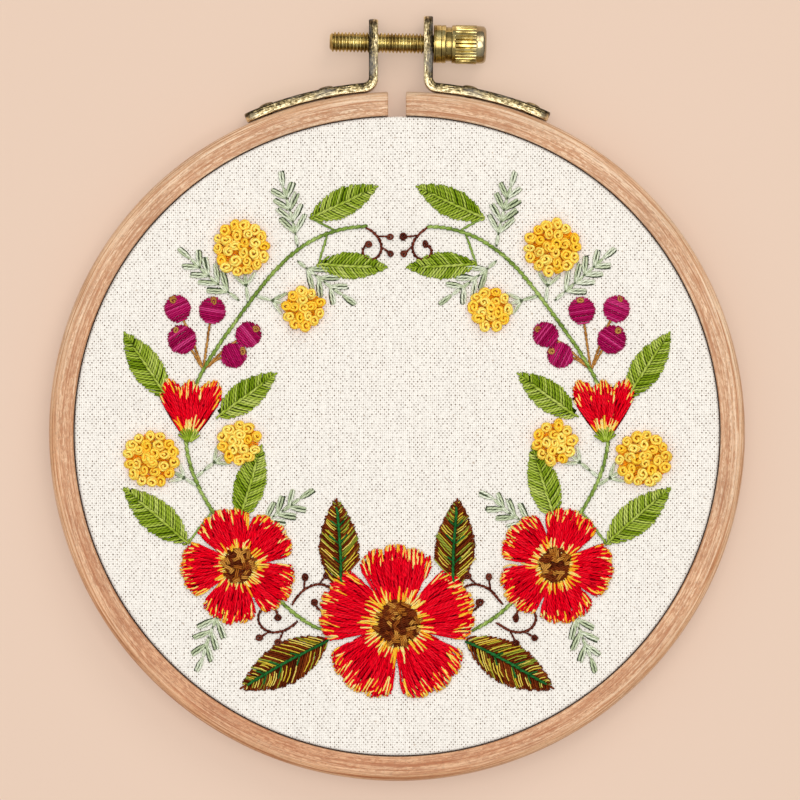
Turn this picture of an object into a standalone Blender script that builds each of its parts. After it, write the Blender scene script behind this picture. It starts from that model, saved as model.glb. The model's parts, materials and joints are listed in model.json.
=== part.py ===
# Hoop embroidery art: stitched cloth held between two beech rings, closed by a screw clamp.
# The hoop lies on its back. +Z is the stitched face, +Y points to the clamp. Metres.

import math

import bmesh
import bpy
import numpy as np

MM = 0.001

# A five-inch hoop is sized by the bore of its outer ring.
BORE_RADIUS = 63.5 * MM
RING_OUTER_RADIUS = 68.35 * MM
RING_DEPTH = 10.0 * MM
SPLIT_WIDTH = 3.54 * MM
CLEARANCE = 0.3 * MM
ROUND_STEPS = 96

# Beside its split the hoop is drawn in by the clamp, most just left of the top.
DRAWN_IN_SHARE = 0.0195
DRAWN_IN_ANGLE = math.radians(95)
DRAWN_IN_WIDTH = math.radians(35)

CLOTH_THICKNESS = 1.0 * MM
CLOTH_FRONT = RING_DEPTH - 0.7 * MM
CLOTH_HEM = 0.4 * MM
INNER_RING_WALL = 4.9 * MM

# The clamp: two bent strips with ears, and a screw through the ears.
STRIP_THICKNESS = 1.8 * MM
STRIP_WIDTH = 8.0 * MM
STRIP_END_ANGLE = math.radians(25.7)
STRIP_CORNER = 2.2 * MM
BEND_RADIUS = 1.9 * MM
EARS = {
    "left": {"x": -4.63 * MM, "top": 81.4 * MM, "side": -1, "rivets": (11.7, 21.8)},
    "right": {"x": 6.18 * MM, "top": 82.0 * MM, "side": 1, "rivets": (12.0, 22.6)},
}
RIVET_HEAD_RADIUS = 1.5 * MM
RIVET_HEAD_HEIGHT = 0.4 * MM
RIVET_SHANK_RADIUS = 0.6 * MM
RIVET_DEPTH_IN_RING = 2.8 * MM

SCREW_HEIGHT = 76.75 * MM
SCREW_TILT = math.radians(1.2)
THREAD_CREST_RADIUS = 2.0 * MM
THREAD_ROOT_RADIUS = 1.62 * MM
THREAD_PITCH = 0.7 * MM
THREAD_START = -13.25 * MM
ROD_STEPS = 12
HEAD_START = 7.42 * MM
HEAD_LENGTH = 10.2 * MM
HEAD_RADIUS = 3.82 * MM
HEAD_RIDGES = 30
HEAD_RIDGE_DEPTH = 0.25 * MM

# The hoop's centre lies this far below the middle of the whole outline.
TOP_REACH = EARS["right"]["top"]
CENTRE_Y = -(TOP_REACH - RING_OUTER_RADIUS) / 2

# Stitched shapes on the front, raised a little. around: degrees from the foot of the hoop,
# repeated on the left side. out: distance from the centre. turn: degrees from outwards.
STITCH_COLUMNS = ("around", "out", "turn", "half_length", "half_width", "rise")
STITCHED_SHAPES = (
    (26.0, 50.5, 35, 10.0, 4.2, 0.35),
    (27.0, 25.0, 150, 9.5, 4.0, 0.35),
    (71.0, 50.0, 60, 8.5, 3.3, 0.35),
    (71.0, 30.5, 126, 8.0, 3.1, 0.35),
    (84.0, 48.5, 0, 5.6, 5.6, 0.60),
    (86.5, 31.0, 0, 4.4, 4.4, 0.60),
    (98.0, 41.0, 84, 6.5, 4.6, 0.40),
    (105.0, 51.0, 42, 8.0, 3.1, 0.35),
    (104.0, 30.5, 130, 7.5, 3.0, 0.35),
    (113.5, 46.0, 0, 2.9, 2.9, 0.50),
    (119.5, 49.5, 0, 2.7, 2.7, 0.50),
    (123.5, 43.5, 0, 2.7, 2.7, 0.50),
    (115.5, 35.5, 0, 2.6, 2.6, 0.50),
    (123.5, 35.0, 0, 2.6, 2.6, 0.50),
    (140.0, 47.5, 0, 5.6, 5.6, 0.60),
    (143.0, 30.5, 0, 4.4, 4.4, 0.60),
    (167.0, 46.5, 78, 7.5, 2.9, 0.35),
    (165.0, 34.0, 108, 7.0, 2.7, 0.35),
)
BLOSSOM_COLUMNS = ("around", "out", "reach")
BLOSSOMS = ((0.0, 37.5, 15.5), (50.0, 40.5, 11.5))
PETALS = 5
PETAL_RISE = 0.45
STITCHED_FROM = 14.0 * MM
STITCHED_TO = 59.0 * MM
STITCHED_STEP = 2.2 * MM


def drawn_in(angle):
    """Share of the round radius that the hoop has at an angle from +X."""
    away = (angle - DRAWN_IN_ANGLE + math.pi) % (2 * math.pi) - math.pi
    return 1 - DRAWN_IN_SHARE * np.exp(-((away / DRAWN_IN_WIDTH) ** 2))


def new_material(name, colour, roughness, metallic=0.0):
    """A Principled material from an sRGB hex colour."""
    red, green, blue = (int(colour[i:i + 2], 16) / 255 for i in (0, 2, 4))
    linear = [((c + 0.055) / 1.055) ** 2.4 if c > 0.04045 else c / 12.92 for c in (red, green, blue)]
    material = bpy.data.materials.new(name)
    material.use_nodes = True
    shader = material.node_tree.nodes["Principled BSDF"]
    shader.inputs["Base Color"].default_value = (*linear, 1)
    shader.inputs["Roughness"].default_value = roughness
    shader.inputs["Metallic"].default_value = metallic
    return material


def new_object(name, mesh, material=None, parent=None):
    """Link a mesh in the part's collection, or in the cutters' where it has no material."""
    obj = bpy.data.objects.new(name, mesh)
    if material is None:
        cutters.objects.link(obj)
        obj.display_type = "WIRE"
        obj.hide_render = True
    else:
        part.objects.link(obj)
        mesh.materials.append(material)
    obj.parent = parent
    return obj


def turned_mesh(name, profile, steps, closed=True):
    """Turn a profile of (radius, height) points, which runs down its outer side, about Z."""
    mesh = bpy.data.meshes.new(name)
    edges = [(i, i + 1) for i in range(len(profile) - 1)]
    if closed:
        edges.append((len(profile) - 1, 0))
    mesh.from_pydata([(radius, 0, height) for radius, height in profile], edges, [])
    guide = bpy.data.objects.new(name + "_profile", mesh)
    cutters.objects.link(guide)
    screw = guide.modifiers.new("Turn", "SCREW")
    screw.steps = screw.render_steps = steps
    screw.use_merge_vertices = True
    screw.merge_threshold = 0.00001
    bpy.context.view_layer.update()
    result = bpy.data.meshes.new_from_object(guide.evaluated_get(bpy.context.evaluated_depsgraph_get()))
    bpy.data.objects.remove(guide)
    result.name = name
    result.shade_smooth()
    result.set_sharp_from_angle(angle=math.radians(35))
    return result


def get_points(mesh):
    """The mesh's points as an array of rows."""
    points = np.empty(len(mesh.vertices) * 3)
    mesh.vertices.foreach_get("co", points)
    return points.reshape(-1, 3)


def set_points(mesh, points):
    """Put changed rows back in the mesh."""
    mesh.vertices.foreach_set("co", points.ravel())
    mesh.update()


def draw_in(mesh):
    """Give a round mesh the hoop's slightly flattened top."""
    points = get_points(mesh)
    points[:, :2] *= drawn_in(np.arctan2(points[:, 1], points[:, 0]))[:, None]
    set_points(mesh, points)


def cut(obj, cutter):
    """Take the cutter's shape out of the object."""
    boolean = obj.modifiers.new("Cut", "BOOLEAN")
    boolean.operation = "DIFFERENCE"
    boolean.object = cutter


def ring_section(inner, outer, top, outer_round, inner_round):
    """Closed section of a ring with rounded edges, down its outer side and up its inner one."""
    corners = (
        (outer - outer_round, top - outer_round, outer_round, (90, 45, 0)),
        (outer - outer_round, outer_round, outer_round, (0, -45, -90)),
        (inner + inner_round, inner_round, inner_round, (-90, -180)),
        (inner + inner_round, top - inner_round, inner_round, (180, 90)),
    )
    return [
        (x + size * math.cos(math.radians(turn)), z + size * math.sin(math.radians(turn)))
        for x, z, size, turns in corners
        for turn in turns
    ]


def make_outer_ring(material, hoop):
    """The split ring that the clamp draws together round the cloth."""
    section = ring_section(BORE_RADIUS, RING_OUTER_RADIUS, RING_DEPTH, 1.5 * MM, 0.4 * MM)
    mesh = turned_mesh("outer_ring", section, ROUND_STEPS)
    draw_in(mesh)
    ring = new_object("outer_ring", mesh, material, hoop)

    split = bpy.data.meshes.new("split_cutter")
    shape = bmesh.new()
    bmesh.ops.create_cube(shape, size=1)
    bmesh.ops.scale(shape, vec=(SPLIT_WIDTH, 4 * (RING_OUTER_RADIUS - BORE_RADIUS), 2 * RING_DEPTH),
                    verts=shape.verts)
    shape.to_mesh(split)
    shape.free()
    cutter = new_object("split_cutter", split, None, hoop)
    cutter.location = (0, (BORE_RADIUS + RING_OUTER_RADIUS) / 2, RING_DEPTH / 2)
    cut(ring, cutter)
    return ring


def make_inner_ring(material, hoop):
    """The plain ring inside the cloth's skirt."""
    outer = BORE_RADIUS - 2 * CLEARANCE - CLOTH_THICKNESS
    top = CLOTH_FRONT - CLOTH_THICKNESS - CLEARANCE
    section = ring_section(outer - INNER_RING_WALL, outer, top, 0.5 * MM, 0.5 * MM)
    mesh = turned_mesh("inner_ring", section, ROUND_STEPS)
    draw_in(mesh)
    new_object("inner_ring", mesh, material, hoop)


def stitched_ovals():
    """Every raised oval as (x, y, direction, half length, half width, rise), in millimetres."""
    ovals = []
    for side in (1, -1):
        for values in STITCHED_SHAPES:
            row = dict(zip(STITCH_COLUMNS, values))
            outwards = row["around"] - 90
            x = side * row["out"] * math.cos(math.radians(outwards))
            y = row["out"] * math.sin(math.radians(outwards))
            turn = math.radians(outwards + row["turn"])
            direction = turn if side > 0 else math.pi - turn
            ovals.append((x, y, direction, row["half_length"], row["half_width"], row["rise"]))
        for values in BLOSSOMS:
            row = dict(zip(BLOSSOM_COLUMNS, values))
            outwards = math.radians(row["around"] - 90)
            reach = row["reach"]
            for petal in range(PETALS):
                turn = outwards + math.pi + 2 * math.pi * petal / PETALS
                x = row["out"] * math.cos(outwards) + 0.6 * reach * math.cos(turn)
                y = row["out"] * math.sin(outwards) + 0.6 * reach * math.sin(turn)
                direction = turn if side > 0 else math.pi - turn
                ovals.append((side * x, y, direction, 0.42 * reach, 0.38 * reach, PETAL_RISE))
    return ovals


def make_cloth(material, hoop):
    """The cloth, drum tight over the inner ring, with its skirt between the two rings."""
    outer = BORE_RADIUS - CLEARANCE
    inner = outer - CLOTH_THICKNESS
    under = CLOTH_FRONT - CLOTH_THICKNESS
    fold = 0.8 * MM
    rings = np.arange(STITCHED_FROM, STITCHED_TO, STITCHED_STEP)
    profile = [(0, CLOTH_FRONT)]
    profile += [(radius, CLOTH_FRONT) for radius in rings]
    profile += [
        (outer - 2 * fold, CLOTH_FRONT),
        (outer - fold / 2, CLOTH_FRONT - fold / 4),
        (outer, CLOTH_FRONT - fold),
        (outer, CLOTH_HEM),
        (inner, CLOTH_HEM),
        (inner, under),
        (0, under),
    ]
    mesh = turned_mesh("cloth", profile, ROUND_STEPS, closed=False)

    points = get_points(mesh)
    radius = np.hypot(points[:, 0], points[:, 1])
    front = (points[:, 2] > CLOTH_FRONT - CLEARANCE) & (radius < STITCHED_TO)
    rise = np.zeros(len(points))
    for x, y, direction, half_length, half_width, height in stitched_ovals():
        dx = points[:, 0] / MM - x
        dy = points[:, 1] / MM - y
        along = (dx * math.cos(direction) + dy * math.sin(direction)) / half_length
        across = (dy * math.cos(direction) - dx * math.sin(direction)) / half_width
        inside = np.clip(1 - along ** 2 - across ** 2, 0, 1)
        rise = np.maximum(rise, height * np.sqrt(inside))
    points[:, 2] += np.where(front, rise * MM, 0)
    set_points(mesh, points)
    draw_in(mesh)
    new_object("cloth", mesh, material, hoop)


def strip_line(ear):
    """Points along the middle of a clamp strip, from its ear's top round the bend and the ring."""
    side = ear["side"]
    away = STRIP_THICKNESS / 2 + CLEARANCE

    def on_ring(from_top):
        angle = math.pi / 2 - side * from_top
        radius = RING_OUTER_RADIUS * drawn_in(angle) + away
        return np.array((radius * math.cos(angle), radius * math.sin(angle)))

    foot_angle = math.asin(abs(ear["x"]) / (RING_OUTER_RADIUS + away))
    corner = on_ring(foot_angle)
    corner[0] = ear["x"]
    reach = BEND_RADIUS * math.tan((math.pi / 2 - foot_angle) / 2)
    bend_end = on_ring(foot_angle + reach / RING_OUTER_RADIUS)
    bend_start = corner + (0, reach)
    centre = bend_start + (side * BEND_RADIUS, 0)

    top = np.array((ear["x"], ear["top"]))
    corner_steps = STRIP_CORNER * np.array((0, 0.15, 0.5, 1))
    line = [top - (0, step) for step in corner_steps]
    line.append(bend_start)
    first = math.pi if side > 0 else 0.0
    last = math.atan2(*(bend_end - centre)[::-1])
    turn = (last - first + math.pi) % (2 * math.pi) - math.pi
    line += [
        centre + BEND_RADIUS * np.array((math.cos(first + turn * share), math.sin(first + turn * share)))
        for share in (0.25, 0.5, 0.75)
    ]
    start = foot_angle + reach / RING_OUTER_RADIUS
    stop = STRIP_END_ANGLE - STRIP_CORNER / RING_OUTER_RADIUS
    line += [on_ring(angle) for angle in np.linspace(start, stop, 11)]
    line += [on_ring(STRIP_END_ANGLE - step / RING_OUTER_RADIUS) for step in corner_steps[-2::-1]]
    return np.array(line)


def make_strip(name, ear, material, hoop):
    """A clamp strip: a flat bar bent along its line, with rounded corners at both ends."""
    line = strip_line(ear)
    lengths = np.concatenate(([0], np.cumsum(np.hypot(*np.diff(line, axis=0).T))))
    to_end = np.minimum(lengths, lengths[-1] - lengths)
    inset = STRIP_CORNER - np.clip(to_end, 0, STRIP_CORNER)
    half_width = STRIP_WIDTH / 2 - STRIP_CORNER + np.sqrt(STRIP_CORNER ** 2 - inset ** 2)

    shape = bmesh.new()
    bmesh.ops.create_grid(shape, x_segments=len(line) - 1, y_segments=1, size=1)
    mesh = bpy.data.meshes.new(name)
    shape.to_mesh(mesh)
    shape.free()
    points = get_points(mesh)
    station = np.rint((points[:, 0] + 1) / 2 * (len(line) - 1)).astype(int)
    points[:, 2] = RING_DEPTH / 2 + np.sign(points[:, 1]) * half_width[station]
    points[:, :2] = line[station]
    set_points(mesh, points)

    strip = new_object(name, mesh, material, hoop)
    solid = strip.modifiers.new("Thickness", "SOLIDIFY")
    solid.thickness = STRIP_THICKNESS
    solid.offset = 0
    solid.use_even_offset = True
    bevel = strip.modifiers.new("Edges", "BEVEL")
    bevel.width = 0.3 * MM
    bevel.segments = 1
    bevel.limit_method = "ANGLE"
    bevel.angle_limit = math.radians(60)
    return strip


def round_cutter(name, radius, length, hoop):
    """A cylinder that cuts a hole, centred on its own origin."""
    mesh = bpy.data.meshes.new(name)
    shape = bmesh.new()
    bmesh.ops.create_cone(shape, cap_ends=True, segments=16, radius1=radius, radius2=radius, depth=length)
    shape.to_mesh(mesh)
    shape.free()
    return new_object(name, mesh, None, hoop)


def make_clamp(metal, hoop, ring):
    """Both strips with their holes, and the rivets that hold them on the ring."""
    for side_name, ear in EARS.items():
        strip = make_strip("bracket_" + side_name, ear, metal, hoop)
        hole = round_cutter("screw_hole_" + side_name, THREAD_CREST_RADIUS + CLEARANCE,
                            4 * STRIP_THICKNESS, hoop)
        hole.location = (ear["x"], SCREW_HEIGHT - ear["x"] * math.tan(SCREW_TILT), RING_DEPTH / 2)
        hole.rotation_euler = (0, math.pi / 2, -SCREW_TILT)
        cut(strip, hole)

        for number, from_top in enumerate(ear["rivets"], start=1):
            name = f"rivet_{side_name}_{number}"
            angle = math.pi / 2 - ear["side"] * math.radians(from_top)
            ring_face = RING_OUTER_RADIUS * drawn_in(angle)
            seat = CLEARANCE + STRIP_THICKNESS + CLEARANCE
            profile = [
                (0, seat + RIVET_HEAD_HEIGHT),
                (0.6 * RIVET_HEAD_RADIUS, seat + 0.85 * RIVET_HEAD_HEIGHT),
                (RIVET_HEAD_RADIUS, seat + 0.3 * RIVET_HEAD_HEIGHT),
                (RIVET_HEAD_RADIUS, seat),
                (RIVET_SHANK_RADIUS, seat),
                (RIVET_SHANK_RADIUS, -RIVET_DEPTH_IN_RING),
                (0, -RIVET_DEPTH_IN_RING),
            ]
            rivet = new_object(name, turned_mesh(name, profile, 12, closed=False), metal, hoop)
            rivet.location = (ring_face * math.cos(angle), ring_face * math.sin(angle), RING_DEPTH / 2)
            rivet.rotation_euler = (0, math.pi / 2, angle)

            depth = RIVET_DEPTH_IN_RING + CLEARANCE
            hole = round_cutter(name + "_hole", RIVET_SHANK_RADIUS + CLEARANCE, 2 * depth, hoop)
            hole.location = rivet.location
            hole.rotation_euler = rivet.rotation_euler
            cut(strip, hole)
            cut(ring, hole)


def make_screw(brass, hoop):
    """The clamp screw in one piece: a threaded rod and a knurled head. Its Z is the screw's axis."""
    ridge_count = int((HEAD_START - THREAD_START) / THREAD_PITCH)
    profile = [(0, HEAD_START + HEAD_LENGTH / 2), (THREAD_ROOT_RADIUS, HEAD_START + HEAD_LENGTH / 2)]
    for ridge in reversed(range(ridge_count)):
        height = THREAD_START + ridge * THREAD_PITCH
        profile.append((THREAD_CREST_RADIUS, height + THREAD_PITCH))
        profile.append((THREAD_ROOT_RADIUS, height + THREAD_PITCH / 2))
    profile.append((THREAD_ROOT_RADIUS, THREAD_START))
    profile.append((0, THREAD_START))
    mesh = turned_mesh("clamp_screw", profile, ROD_STEPS, closed=False)
    screw = new_object("clamp_screw", mesh, brass, hoop)
    screw.location = (0, SCREW_HEIGHT, RING_DEPTH / 2)
    screw.rotation_euler = (0, math.pi / 2, -SCREW_TILT)

    end = HEAD_START + HEAD_LENGTH
    groove = (HEAD_START + 2.45 * MM, HEAD_START + 3.59 * MM)
    knurl = (HEAD_START + 4.38 * MM, HEAD_START + 8.41 * MM)
    step = 0.12 * MM
    land = HEAD_RADIUS - 0.1 * MM
    waist = HEAD_RADIUS - 0.35 * MM
    profile = [
        (0, end),
        (0.8 * HEAD_RADIUS, end),
        (land, end - 0.5 * MM),
        (land, knurl[1] + step),
        (HEAD_RADIUS, knurl[1]),
        (HEAD_RADIUS, knurl[0]),
        (land, knurl[0] - step),
        (land, groove[1] + step),
        (waist, groove[1]),
        (waist, groove[0]),
        (land, groove[0] - step),
        (land, HEAD_START + step),
        (land - step, HEAD_START),
        (0, HEAD_START),
    ]
    head_mesh = turned_mesh("screw_head", profile, 2 * HEAD_RIDGES, closed=False)
    points = get_points(head_mesh)
    radius = np.hypot(points[:, 0], points[:, 1])
    angle = np.arctan2(points[:, 1], points[:, 0])
    valley = np.rint(angle / math.pi * HEAD_RIDGES).astype(int) % 2 == 1
    knurled = radius > HEAD_RADIUS - step / 2
    depth = np.where(valley & knurled, HEAD_RIDGE_DEPTH, 0)
    points[:, :2] *= 1 - (depth / np.maximum(radius, MM))[:, None]
    set_points(head_mesh, points)
    head = new_object("screw_head", head_mesh, None, screw)
    join = screw.modifiers.new("Head", "BOOLEAN")
    join.operation = "UNION"
    join.object = head


for old in list(bpy.data.objects):
    bpy.data.objects.remove(old)
part = bpy.data.collections.new("hoop_embroidery_art")
cutters = bpy.data.collections.new("cutters")
bpy.context.scene.collection.children.link(part)
bpy.context.scene.collection.children.link(cutters)

hoop_centre = bpy.data.objects.new("hoop_centre", None)
part.objects.link(hoop_centre)
hoop_centre.location = (0, CENTRE_Y, 0)

beech = new_material("beech", "CDA078", 0.55)
inner_beech = new_material("inner_beech", "D6AE86", 0.6)
cotton = new_material("cotton_cloth", "F1ECE0", 0.9)
plated_steel = new_material("plated_steel", "8C845F", 0.4, 1.0)
brass_metal = new_material("brass", "BE963C", 0.3, 1.0)

outer_ring = make_outer_ring(beech, hoop_centre)
make_inner_ring(inner_beech, hoop_centre)
make_cloth(cotton, hoop_centre)
make_clamp(plated_steel, hoop_centre, outer_ring)
make_screw(brass_metal, hoop_centre)
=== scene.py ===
# Hoop embroidery art: the looks of the rings, the clamp, the cloth and its stitching.
# Shapes are worked out in millimetres about the hoop's centre, and placed in metres at the end.
import json
import math

import bpy
import numpy as np
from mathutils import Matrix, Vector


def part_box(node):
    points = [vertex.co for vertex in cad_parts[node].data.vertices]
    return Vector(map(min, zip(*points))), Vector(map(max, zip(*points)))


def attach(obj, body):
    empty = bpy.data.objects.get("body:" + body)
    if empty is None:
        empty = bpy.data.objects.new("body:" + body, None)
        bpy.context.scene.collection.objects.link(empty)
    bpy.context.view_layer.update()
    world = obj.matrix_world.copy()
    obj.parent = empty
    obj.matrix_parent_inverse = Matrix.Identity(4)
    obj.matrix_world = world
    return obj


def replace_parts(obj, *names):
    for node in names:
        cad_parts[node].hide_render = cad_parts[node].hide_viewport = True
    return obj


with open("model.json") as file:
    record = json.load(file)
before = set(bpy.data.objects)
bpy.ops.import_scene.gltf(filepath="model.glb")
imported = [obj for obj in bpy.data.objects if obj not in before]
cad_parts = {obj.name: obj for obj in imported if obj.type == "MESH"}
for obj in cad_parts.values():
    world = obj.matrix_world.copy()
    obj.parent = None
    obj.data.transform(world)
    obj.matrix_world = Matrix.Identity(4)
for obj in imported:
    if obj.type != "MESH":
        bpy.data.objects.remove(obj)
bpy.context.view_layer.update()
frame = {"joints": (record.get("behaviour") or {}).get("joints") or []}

ringLow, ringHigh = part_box("outer_ring")
ringRadius = (ringHigh.x - ringLow.x) * 500  # outside of the split ring, mm
ringDepth = ringHigh.z * 1000
centreY = ringLow.y * 1000 + ringRadius  # the hoop's centre in the frame, mm
clothFace = 9.3  # front of the cloth above the floor, mm
turnJoint = frame["joints"][0]

hoopShape = {
    "bore": 63.5,  # outer ring, mm
    "drawnIn": 0.0195,  # share of the radius lost beside the split
    "drawnInAt": math.radians(95),
    "drawnInOver": math.radians(35),
    "splitHalf": 1.77,
    "innerRingOuter": 61.9,
    "innerRingWall": 4.9,
    "innerRingTop": 8.0,
}

print("frame loaded")


# Numbers and colours

def linear(code):
    # each channel of an sRGB hex colour by the standard curve
    parts = np.array([int(code[i:i + 2], 16) / 255 for i in (0, 2, 4)])
    parts = np.where(parts > 0.04045, ((parts + 0.055) / 1.055) ** 2.4, parts / 12.92)
    return (*(float(p) for p in parts), 1.0)


def hoopScale(angle):
    # 1 less a bell curve centred on the drawn-in angle
    away = (angle - hoopShape["drawnInAt"] + math.pi) % (2 * math.pi) - math.pi
    return 1 - hoopShape["drawnIn"] * np.exp(-((away / hoopShape["drawnInOver"]) ** 2))


def smoothStep(low, high, x):
    t = np.clip((x - low) / (high - low), 0, 1)
    return t * t * (3 - 2 * t)


def evenAngles(steps):
    # one full turn in so many steps, the last a step short of the first
    return np.arange(steps) / steps * 2 * math.pi


def unit(angle):
    # the direction at an angle from X
    return np.stack((np.cos(angle), np.sin(angle)), -1)


def runningLength(line):
    # distance along a line at each of its points
    return np.concatenate(([0], np.cumsum(np.hypot(*np.diff(line, axis=0).T))))


# Meshes

def makePiece(name, points, faces, material, body, uv, tone=None):
    # points in mm about the hoop's centre; faces is a list of index arrays, all of one width each,
    # and uv has an array for each of them
    mesh = bpy.data.meshes.new(name)
    placed = (points + np.array((0, centreY, 0))) / 1000
    counts = np.concatenate([np.full(len(f), f.shape[1]) for f in faces])
    corners = np.concatenate([f.ravel() for f in faces])
    mesh.vertices.add(len(placed))
    mesh.vertices.foreach_set("co", placed.astype(np.float32).ravel())
    mesh.loops.add(len(corners))
    mesh.loops.foreach_set("vertex_index", corners.astype(np.int32))
    mesh.polygons.add(len(counts))
    mesh.polygons.foreach_set("loop_start", (np.cumsum(counts) - counts).astype(np.int32))
    mesh.update(calc_edges=True)
    run = np.concatenate([u.reshape(-1, 2) for u in uv]).astype(np.float32)
    mesh.uv_layers.new(name="run").data.foreach_set("uv", run.ravel())
    if tone is not None:
        mesh.attributes.new("tone", "FLOAT", "POINT").data.foreach_set("value", tone.astype(np.float32))
    mesh.shade_smooth()
    mesh.validate()
    mesh.materials.append(material)
    piece = bpy.data.objects.new(name, mesh)
    bpy.context.scene.collection.objects.link(piece)
    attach(piece, body)
    return piece


def gridFaces(rows, columns, wrapRows, wrapColumns):
    # quads of a rows by columns grid, and each corner's (row, column) before wrapping, for UVs
    r, c = np.indices((rows - 1 + wrapRows, columns - 1 + wrapColumns)).reshape(2, -1)
    cornerRow = np.stack((r, r, r + 1, r + 1), 1)
    cornerColumn = np.stack((c, c + 1, c + 1, c), 1)
    return (cornerRow % rows) * columns + cornerColumn % columns, cornerRow, cornerColumn


def endFans(rows, columns):
    # triangles from both end rings of an open grid to the two points that follow its own
    ring = np.arange(columns)
    following = (ring + 1) % columns
    first = np.stack((following, ring, np.full(columns, rows * columns)), 1)
    last = np.stack((ring, following, np.full(columns, rows * columns + 1)), 1)
    last[:, :2] += (rows - 1) * columns
    return first, last


def sweptPiece(name, grid, along, around, material, body, closed=False, endGrain=1):
    # grid[row, column] are points of sections carried along a path; columns go round the section.
    # along is mm at each row, around mm at each column and back at the start. Open ends get fans,
    # with UV from height times endGrain and from distance to the hoop's centre.
    rows, columns = grid.shape[:2]
    quads, cornerRow, cornerColumn = gridFaces(rows, columns, closed, True)
    uv = [np.stack((along[cornerRow], around[cornerColumn]), -1)]
    points, faces = grid.reshape(-1, 3), [quads]
    if not closed:
        middles = np.stack((grid[0].mean(0), grid[-1].mean(0)))
        points = np.concatenate((points, middles))
        for fan, middle, start in zip(endFans(rows, columns), middles, (along[0], along[-1])):
            faces.append(fan)
            grain = start + endGrain * (points[fan, 2] - middle[2])
            outwards = np.hypot(points[fan, 0], points[fan, 1]) - np.hypot(*middle[:2])
            uv.append(np.stack((grain, around.mean() + outwards), -1))
    return makePiece(name, points, faces, material, body, uv)


# Materials

def addNode(tree, kind, inputs=None, stops=None, **settings):
    # inputs: socket to a value, a node (its first output) or (node, output)
    node = tree.nodes.new("ShaderNode" + kind)
    for key, value in settings.items():
        setattr(node, key, value)
    for socket, value in (inputs or {}).items():
        if isinstance(value, bpy.types.Node):
            value = (value, 0)
        if isinstance(value, tuple) and isinstance(value[0], bpy.types.Node):
            tree.links.new(value[0].outputs[value[1]], node.inputs[socket])
        else:
            node.inputs[socket].default_value = value
    if stops:
        ramp = node.color_ramp
        while len(ramp.elements) < len(stops):
            ramp.elements.new(1.0)
        for element, (place, colour) in zip(ramp.elements, stops):
            element.position = place
            element.color = linear(colour) if isinstance(colour, str) else (colour, colour, colour, 1)
    return node


def connect(tree, value, shader, socket):
    node, output = value if isinstance(value, tuple) else (value, 0)
    tree.links.new(node.outputs[output], shader.inputs[socket])


def maths(tree, operation, *values, **settings):
    return addNode(tree, "Math", dict(enumerate(values)), operation=operation, **settings)


def ranged(tree, value, low, high, toLow=0.0, toHigh=1.0):
    return addNode(tree, "MapRange", {"Value": value, "From Min": low, "From Max": high, "To Min": toLow,
                                      "To Max": toHigh})


def ramped(tree, value, *stops):
    return addNode(tree, "ValToRGB", {0: value}, stops)


def blended(tree, share, first, second, blend="MIX"):
    # two colours mixed, as (node, output)
    return addNode(tree, "Mix", {0: share, 6: first, 7: second}, data_type="RGBA", blend_type=blend), 2


def noise(tree, vector, stretch, detail, roughness=0.5, twist=0.0):
    mapped = addNode(tree, "Mapping", {"Vector": vector, "Scale": stretch})
    return addNode(tree, "TexNoise", {"Vector": mapped, "Scale": 1.0, "Detail": detail,
                                      "Roughness": roughness, "Distortion": twist})


def addBump(tree, height, strength, distance, shader):
    bump = addNode(tree, "Bump", {"Height": height, "Strength": strength, "Distance": distance})
    connect(tree, bump, shader, "Normal")


def newMaterial(name, **constants):
    # a Principled shader with its constant sockets set; spaces in socket names are underscores here
    material = bpy.data.materials.new(name)
    material.use_nodes = True
    tree = material.node_tree
    shader = tree.nodes["Principled BSDF"]
    for key, value in constants.items():
        shader.inputs[key.replace("_", " ")].default_value = value
    return material, tree, shader


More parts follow.
